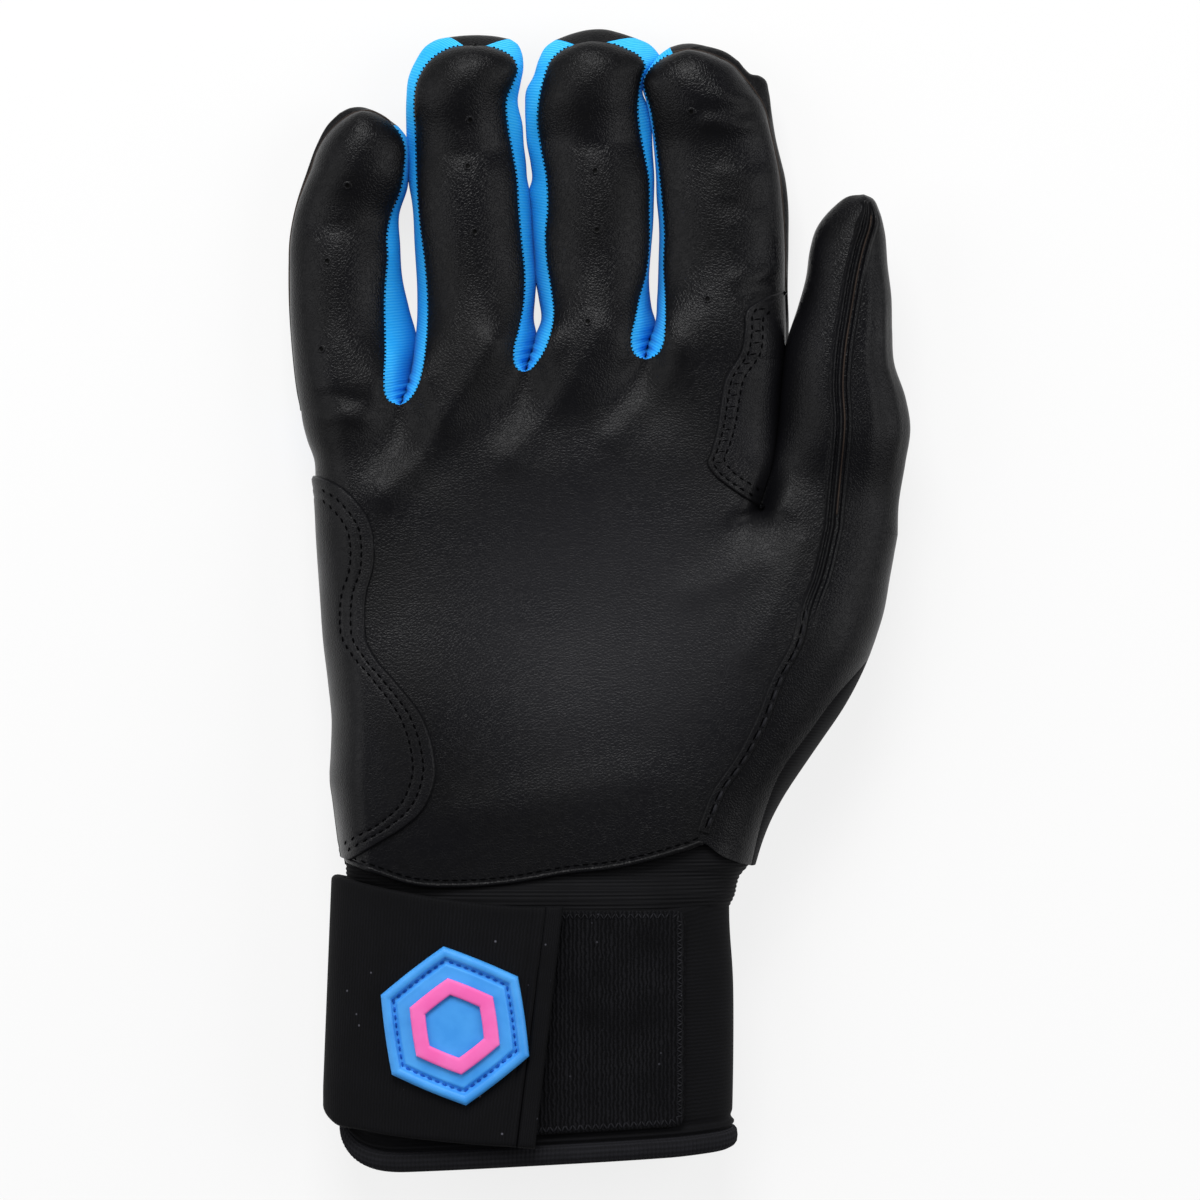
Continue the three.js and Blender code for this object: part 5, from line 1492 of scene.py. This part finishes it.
def stitches(name, places, ahead, up, length, width, material):
    """Stitches as one piece: each has a place, a direction and the way up from the surface below it."""
    bpy.ops.object.select_all(action="DESELECT")
    bpy.ops.mesh.primitive_uv_sphere_add(segments=6, ring_count=4, radius=0.5)
    thread = bpy.context.object
    egg = np.array([v.co for v in thread.data.vertices])
    faces = np.array([[*face.vertices, *face.vertices][:4] for face in thread.data.polygons])
    corners = [len(face.vertices) for face in thread.data.polygons]
    side = unit(np.cross(up, ahead))
    up = np.cross(ahead, side)
    spots = (places[:, None] + egg[None, :, 2, None] * ahead[:, None] * length
             + egg[None, :, 0, None] * side[:, None] * width + egg[None, :, 1, None] * up[:, None] * width)
    mesh = bpy.data.meshes.new(name)
    all_faces = [[int(v) + k * len(egg) for v in face[:n]]
                 for k in range(len(places)) for face, n in zip(faces, corners)]
    mesh.from_pydata((spots.reshape(-1, 3) / 1000).tolist(), [], all_faces)
    thread.data = mesh
    thread.name = name
    only(thread)
    bpy.ops.object.shade_smooth()
    mesh.materials.append(material)
    return thread


def lying(points, height):
    """Points on a surface and the way up there, from a rule that gives the height of the surface."""
    x, y = points.T
    z, near_by = height(x, y), 0.3
    slope_x, slope_y = (height(x + near_by, y) - z) / near_by, (height(x, y + near_by) - z) / near_by
    return stack(x, y, z), unit(stack(-slope_x, -slope_y, np.ones(len(x))))


def laid(ahead, up):
    """Directions laid down onto the surface whose way up is given."""
    return unit(ahead - up * (ahead * up).sum(axis=1)[:, None])


def sewn_row(name, line_xy, height, lift, step, length, width, material=BLACK_THREAD):
    """A row of stitches along a line on a surface."""
    places, ahead = even(line_xy, step)
    spots, up = lying(places, height)
    ahead = laid(unit(on(ahead, np.zeros(len(ahead)))), up)
    return stitches(name, spots + up * lift, ahead, up, length, width, material)

# %% [markdown]
# Two rows hold each patch. They are the edge of the patch, moved inwards. The index patch also has short
# rungs between its rows. A single row follows the hem, and a coarse grey thread the seam on the ball of the
# thumb.

# %% Rows on the palm
def palm_z(x, y):
    return palm_height(x, y)[0]


def welt_height(x, y):
    return palm_top(x, y) + folds(x, y) + 0.46


def patch_row(edge_line, side_line, shares, distance, spare):
    """A line at a distance inside the edge of a patch, where the patch is wide enough for it."""
    edge = edge_line(shares)
    way = side_line(shares) - edge
    room = np.linalg.norm(way, axis=1)
    return (edge + way / room[:, None] * distance)[room > distance + spare]


shares = np.linspace(0.03, 0.97, 300)
for k, distance in enumerate(HEEL_ROWS):
    row = patch_row(heel_edge, heel_side, shares, distance, spare=1.5)
    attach(sewn_row(f"heel_stitches_{k + 1}", row, palm_z, lift=0.72, step=1.95, length=1.35, width=0.5),
            "hand")

hem_x = np.linspace(-55.5, 23.2, 300)
hem_row = stack(hem_x, palm_hem(hem_x) + 1.5)
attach(sewn_row("hem_stitches", hem_row, palm_z, lift=0.03, step=2.1, length=1.5, width=0.42), "hand")
thumb_row = ball_seam(np.linspace(0.74, 0.05, 300)) - np.array([0.3, 0])
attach(sewn_row("thumb_seam_stitches", thumb_row, welt_height, lift=0.1, step=3.2, length=2.65, width=0.8,
                 material=GREY_THREAD), "hand")
# Painted shadow: dark thread dashes on the palm side of the thread, standing in for the shade where it pulls
# the leather in.
shadow_row = thumb_row - np.array([0.6, 0])
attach(sewn_row("thumb_seam_painted_shadow", shadow_row, welt_height, lift=0.04, step=3.2, length=2.9, width=0.42),
        "hand")

shares = np.linspace(0.07, 0.86, 200)
index_rows = [patch_row(index_edge, index_patch_side, shares, distance, spare=1) for distance in INDEX_ROWS]
for k, points in enumerate(index_rows):
    row = sewn_row(f"index_patch_stitches_{k + 1}", points, index_height, lift=0.68, step=1.95, length=1.3,
                   width=0.46)
    bend(row, "index")
rungs = even(index_rows[0], 2.6)[0]
rungs = rungs[rungs[:, 1] > 29]
spots, up = lying(rungs + np.array([1.2, 0.15]), index_height)
ahead = laid(np.tile([0.99, 0.12, 0.0], (len(rungs), 1)), up)
row = stitches("index_patch_rungs", spots + up * 0.72, ahead, up, length=1.7, width=0.42,
               material=BLACK_THREAD)
bend(row, "index")
print("rows of stitches: 8")

# %% [markdown]
# The loop pad is sewn down with a zigzag: short threads that lean to one side and the other in turn. The
# badge has a row of deep blue stitches in its groove.

# %% Rows on the cuff
BORDER_TOP, BORDER_TURN, TURN_RADIUS = -70.8, 16.2, 1.7  # upper edge and right corners of the zigzag
GROOVE = 14.65  # distance of the groove from the middle of the badge, at a corner


def pad_low(x):
    """Lower edge of the loop pad."""
    return PAD_BOTTOM + slant(x, HEM_RISE)


turn = np.linspace(0, np.pi / 2, 8)
turn_x, turn_y = TURN_RADIUS * np.sin(turn), TURN_RADIUS * np.cos(turn)
low_x, low_corner = np.linspace(15, -14, 60), pad_low(17)
border = np.concatenate([
    stack(np.linspace(-10, BORDER_TURN, 60), BORDER_TOP),
    stack(BORDER_TURN + turn_x, BORDER_TOP - TURN_RADIUS + turn_y),
    stack(BORDER_TURN + TURN_RADIUS, np.linspace(-74, low_corner + 4.2, 80)),
    stack(BORDER_TURN + turn_y, low_corner + 2.8 - turn_x),
    stack(low_x, pad_low(low_x) + 1.15)])
places, ahead = even(border, 0.85)
spots, up = lying(places, lambda x, y: cuff_top(x, 1.3))
lean = np.where(np.arange(len(places)) % 2, 0.6, -0.6)[:, None]
across = unit(on(stack(-ahead[:, 1], ahead[:, 0]) + ahead * lean, np.zeros(len(places))))
zigzag = stitches("loop_pad_zigzag", spots + up * 0.03, laid(across, up), up, length=1.5, width=0.4,
                  material=GREY_THREAD)
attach(zigzag, "hand")
turn = np.linspace(0, 2 * np.pi, 361)
groove = stack(*badge_xy(GROOVE * hexagon(turn), turn))
row = sewn_row("badge_stitches", groove, lambda x, y: cuff_top(x, 5.85), lift=0, step=1.75, length=1.2,
               width=0.5, material=BLUE_THREAD)
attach(row, "strap")
print("zigzag stitches:", len(places))

# %% [markdown]
# The stitches of an overcast edge stand across the seam of a blue strip. Each points from the seam towards
# the outline of the finger.

# %% Overcast edges
for name in FINGERS:
    seam, rim, low = band_lines(name)
    spots, over, tops = [], [], []
    for side, (first, last) in PARTS.items():
        if f"{name} {side}" in BLUE_SIDES:
            rows = np.arange(first + 2, last)
            places, ahead = even(seam[rows], 0.95)
            outer = even(rim[rows], run_length(rim[rows])[-1] / len(places))[0]
            out = outer[:len(places)] - places[:len(outer)]
            out = unit(out * np.array([1, 1, 0.35]))
            spots.append(places[:len(out)] + out * 0.12 + np.array([0, 0, 0.1]))
            over.append(out)
            tops.append(unit(stack(out[:, 0] * 0.4, out[:, 1] * 0.4, np.ones(len(out)))))
    sewn = stitches(name + "_overcast", *(np.concatenate(rows) for rows in (spots, over, tops)), length=0.66,
                    width=0.42, material=BLACK_THREAD)
    bend(sewn, name)
print("overcast edges: 4 fingers")

# %% [markdown]
# ## Raw edges and rolled hems
# Where a leather is turned in, its cut edge shows as a thin line: brown along the thumb welt and beside the
# index and the little finger, black at the rolled hem. Each is a thin round cord laid into the seam.

# %% Cords in the seams
def piping(name, points, radius, material):
    """A thin round cord along points, with round ends."""
    length = run_length(points)[-1]
    ahead = unit(np.gradient(points, axis=0))
    upright = np.array([0.02, 0.01, 1])  # leans a little, because no cord runs that way
    side = unit(np.cross(ahead, upright))
    up = np.cross(side, ahead)

    def place(across, along):
        middle, right, top = (at_step(rows, along * (len(points) - 1)) for rows in (points, side, up))
        turn = -across * 2 * np.pi
        thick = radius * rounded(np.minimum(along, 1 - along) * length, radius)
        return middle + (right * np.cos(turn)[:, None] + top * np.sin(turn)[:, None]) * thick[:, None]
    return panel(name, 8, len(points) * 2, place, material, thickness=0, join=True)


steps = np.linspace(0.02, 0.96, 60)
welt_path = welt_place(np.full(len(steps), 0.62), steps)
bend_thumb(piping("thumb_raw_edge", welt_path + np.array([0, 0, -0.1]), 0.28, RAW_EDGE))
for name, first, last in (("index", PART + 2, 3 * PART - 26), ("little", 40, 2 * PART - 4)):
    seam = band_lines(name)[0]
    bend(piping(name + "_raw_edge", seam[first:last:2] + np.array([0, 0.06, 0.2]), 0.24, RAW_EDGE), name)
hem_x = np.linspace(-57, 23.6, 60)
hem_path = stack(hem_x, palm_hem(hem_x) + 0.35)
rolled_hem = piping("palm_rolled_hem", on(hem_path, palm_z(*hem_path.T) - 0.35), 0.7, PALM_LEATHER)
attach(rolled_hem, "hand")
print("cords: 4")

# %% [markdown]
# ## Vent holes
# Small holes are punched through the finger leathers. Each is a low ring of pressed leather round a dark
# middle, turned to the leather below it. The dark middle is painted shade for the inside of the hole.

# %% Vent holes
VENTS = {"little": [(-56.5, 92.5), (-61, 75.6), (-62.3, 55.8)],
         "ring": [(-29, 107.3), (-29.5, 97), (-27.9, 82.1)],
         "middle": [(-0.9, 95.9), (-0.5, 82.6), (-2.5, 61.9)],
         "index": [(20.7, 109.1), (24.3, 67)]}
vent_section = np.array([(0, 0.04), (0.44, 0.05), (0.52, 0.1), (0.74, 0.16), (0.95, 0.09), (1.2, -0.12),
                         (0, -0.4)])
HOLE = 0.0005  # reach of the dark middle, in metres as the mesh has it
NEIGHBOURS = 9  # known places from which the height of the leather is worked out


def finger_height(name):
    """Height of a finger's leather at any place on it."""
    finger = FINGERS[name]
    grid = np.meshgrid(np.linspace(0.02, 0.98, 60), np.linspace(0, 1, 120))
    known = front_place(finger)(grid[0].ravel(), grid[1].ravel())

    def height(x, y):
        gaps = (x[:, None] - known[None, :, 0]) ** 2 + (y[:, None] - known[None, :, 1]) ** 2
        nearest = known[np.argsort(gaps, axis=1)[:, :NEIGHBOURS]]
        ones = np.ones(NEIGHBOURS)
        planes = [np.linalg.lstsq(stack(n[:, 0] - a, n[:, 1] - b, ones), n[:, 2], rcond=None)[0]
                  for a, b, n in zip(x, y, nearest)]
        return np.array(planes)[:, 2]
    return height


for name, places in VENTS.items():
    spots, ups = lying(np.array(places), finger_height(name))
    rings = []
    for spot, up in zip(spots, ups):
        right = unit(np.cross(up, np.array([0.0, 1, 0]))[None])[0]
        ahead = np.cross(up, right)

        def ring_place(across, along):
            reach, high = at_step(vent_section, (1 - along) * (len(vent_section) - 1)).T
            turn = -across * 2 * np.pi
            return (spot + right * (reach * np.cos(turn))[:, None] + ahead * (reach * np.sin(turn))[:, None]
                    + up * high[:, None])
        ring = panel(f"{name}_vent_{len(rings)}", 14, 6, ring_place, PALM_LEATHER, thickness=0, join=True)
        # The middle faces get the painted shade of the hole.
        ring.data.materials.append(HOLE_SHADE)
        middle = np.array(spot) / 1000
        for face in ring.data.polygons:
            face.material_index = int(np.linalg.norm(np.array(face.center) - middle) < HOLE)
        rings.append(ring)
    only(rings[0])
    for ring in rings:
        ring.select_set(True)
    bpy.ops.object.join()
    rings[0].name = name + "_vents"
    bend(rings[0], name)
print("vent holes:", sum(len(places) for places in VENTS.values()))

# %% [markdown]
# ## Studio
# The photograph looks straight down on the glove from far away, on white. Large soft lamps beyond
# the fingertips and on both sides model the leather, and the floor is white paper.

# %% Studio
PIXEL, PIXELS = 0.225, 1200  # millimetres to a pixel of the photograph, and its width in pixels
SENSOR, DISTANCE = 36, 1.5  # the camera's sensor in millimetres, and its distance in metres
LAMPS = (("top", (-0.15, 1.0, 0.95), 0.7, 14), ("left", (-1.0, 0.15, 0.75), 0.9, 5.5),
         ("right", (1.0, 0.1, 0.75), 0.9, 6.5))  # name, place and size in metres, and power in watts


def studio():
    """The world, the lamps and the camera."""
    scene = bpy.context.scene
    scene.view_settings.view_transform = "Standard"
    world = bpy.data.worlds.new("studio")
    world.use_nodes = True
    world.node_tree.nodes["Background"].inputs["Color"].default_value = (1, 1, 1, 1)
    world.node_tree.nodes["Background"].inputs["Strength"].default_value = 0.16
    scene.world = world
    for name, place, size, power in LAMPS:
        lamp = bpy.data.objects.new(name, bpy.data.lights.new(name, "AREA"))
        lamp.data.size = size
        lamp.data.energy = power
        lamp.location = place
        lamp.rotation_euler = (-lamp.location).to_track_quat("-Z", "Y").to_euler()
        scene.collection.objects.link(lamp)
    camera = bpy.data.objects.new("camera", bpy.data.cameras.new("camera"))
    camera.data.sensor_width = SENSOR
    camera.data.lens = SENSOR * DISTANCE / (PIXELS / 1000 * PIXEL)
    camera.location = (0.0002, -0.0005, DISTANCE + 0.016)
    scene.collection.objects.link(camera)
    scene.camera = camera


studio()
bpy.ops.object.select_all(action="DESELECT")
bpy.ops.mesh.primitive_plane_add(size=4, location=(0, 0, -0.0002))
floor = bpy.context.object
floor.name = "floor"
paper, paper_shader = new_material("white_paper", Base_Color=(0.9, 0.9, 0.9, 1), Roughness=0.9)
rays = add(paper, "LightPath").outputs
seen = add(paper, "Math", {0: rays["Is Camera Ray"], 1: rays["Is Glossy Ray"]}, operation="MAXIMUM")
seen = add(paper, "Math", {0: seen.outputs["Value"], 1: rays["Is Transmission Ray"]}, operation="MAXIMUM")
share = add(paper, "Math", {0: seen.outputs["Value"], 1: 0.8}, operation="MULTIPLY")
glow = add(paper, "Emission", {"Strength": 1.0})
both = add(paper, "MixShader", {0: share.outputs["Value"], 1: paper_shader.outputs["BSDF"],
                                2: glow.outputs["Emission"]})
paper.node_tree.links.new(both.outputs["Shader"], paper.node_tree.nodes["Material Output"].inputs["Surface"])
floor.data.materials.append(paper)
print("camera:", tuple(round(v, 3) for v in bpy.context.scene.camera.location))
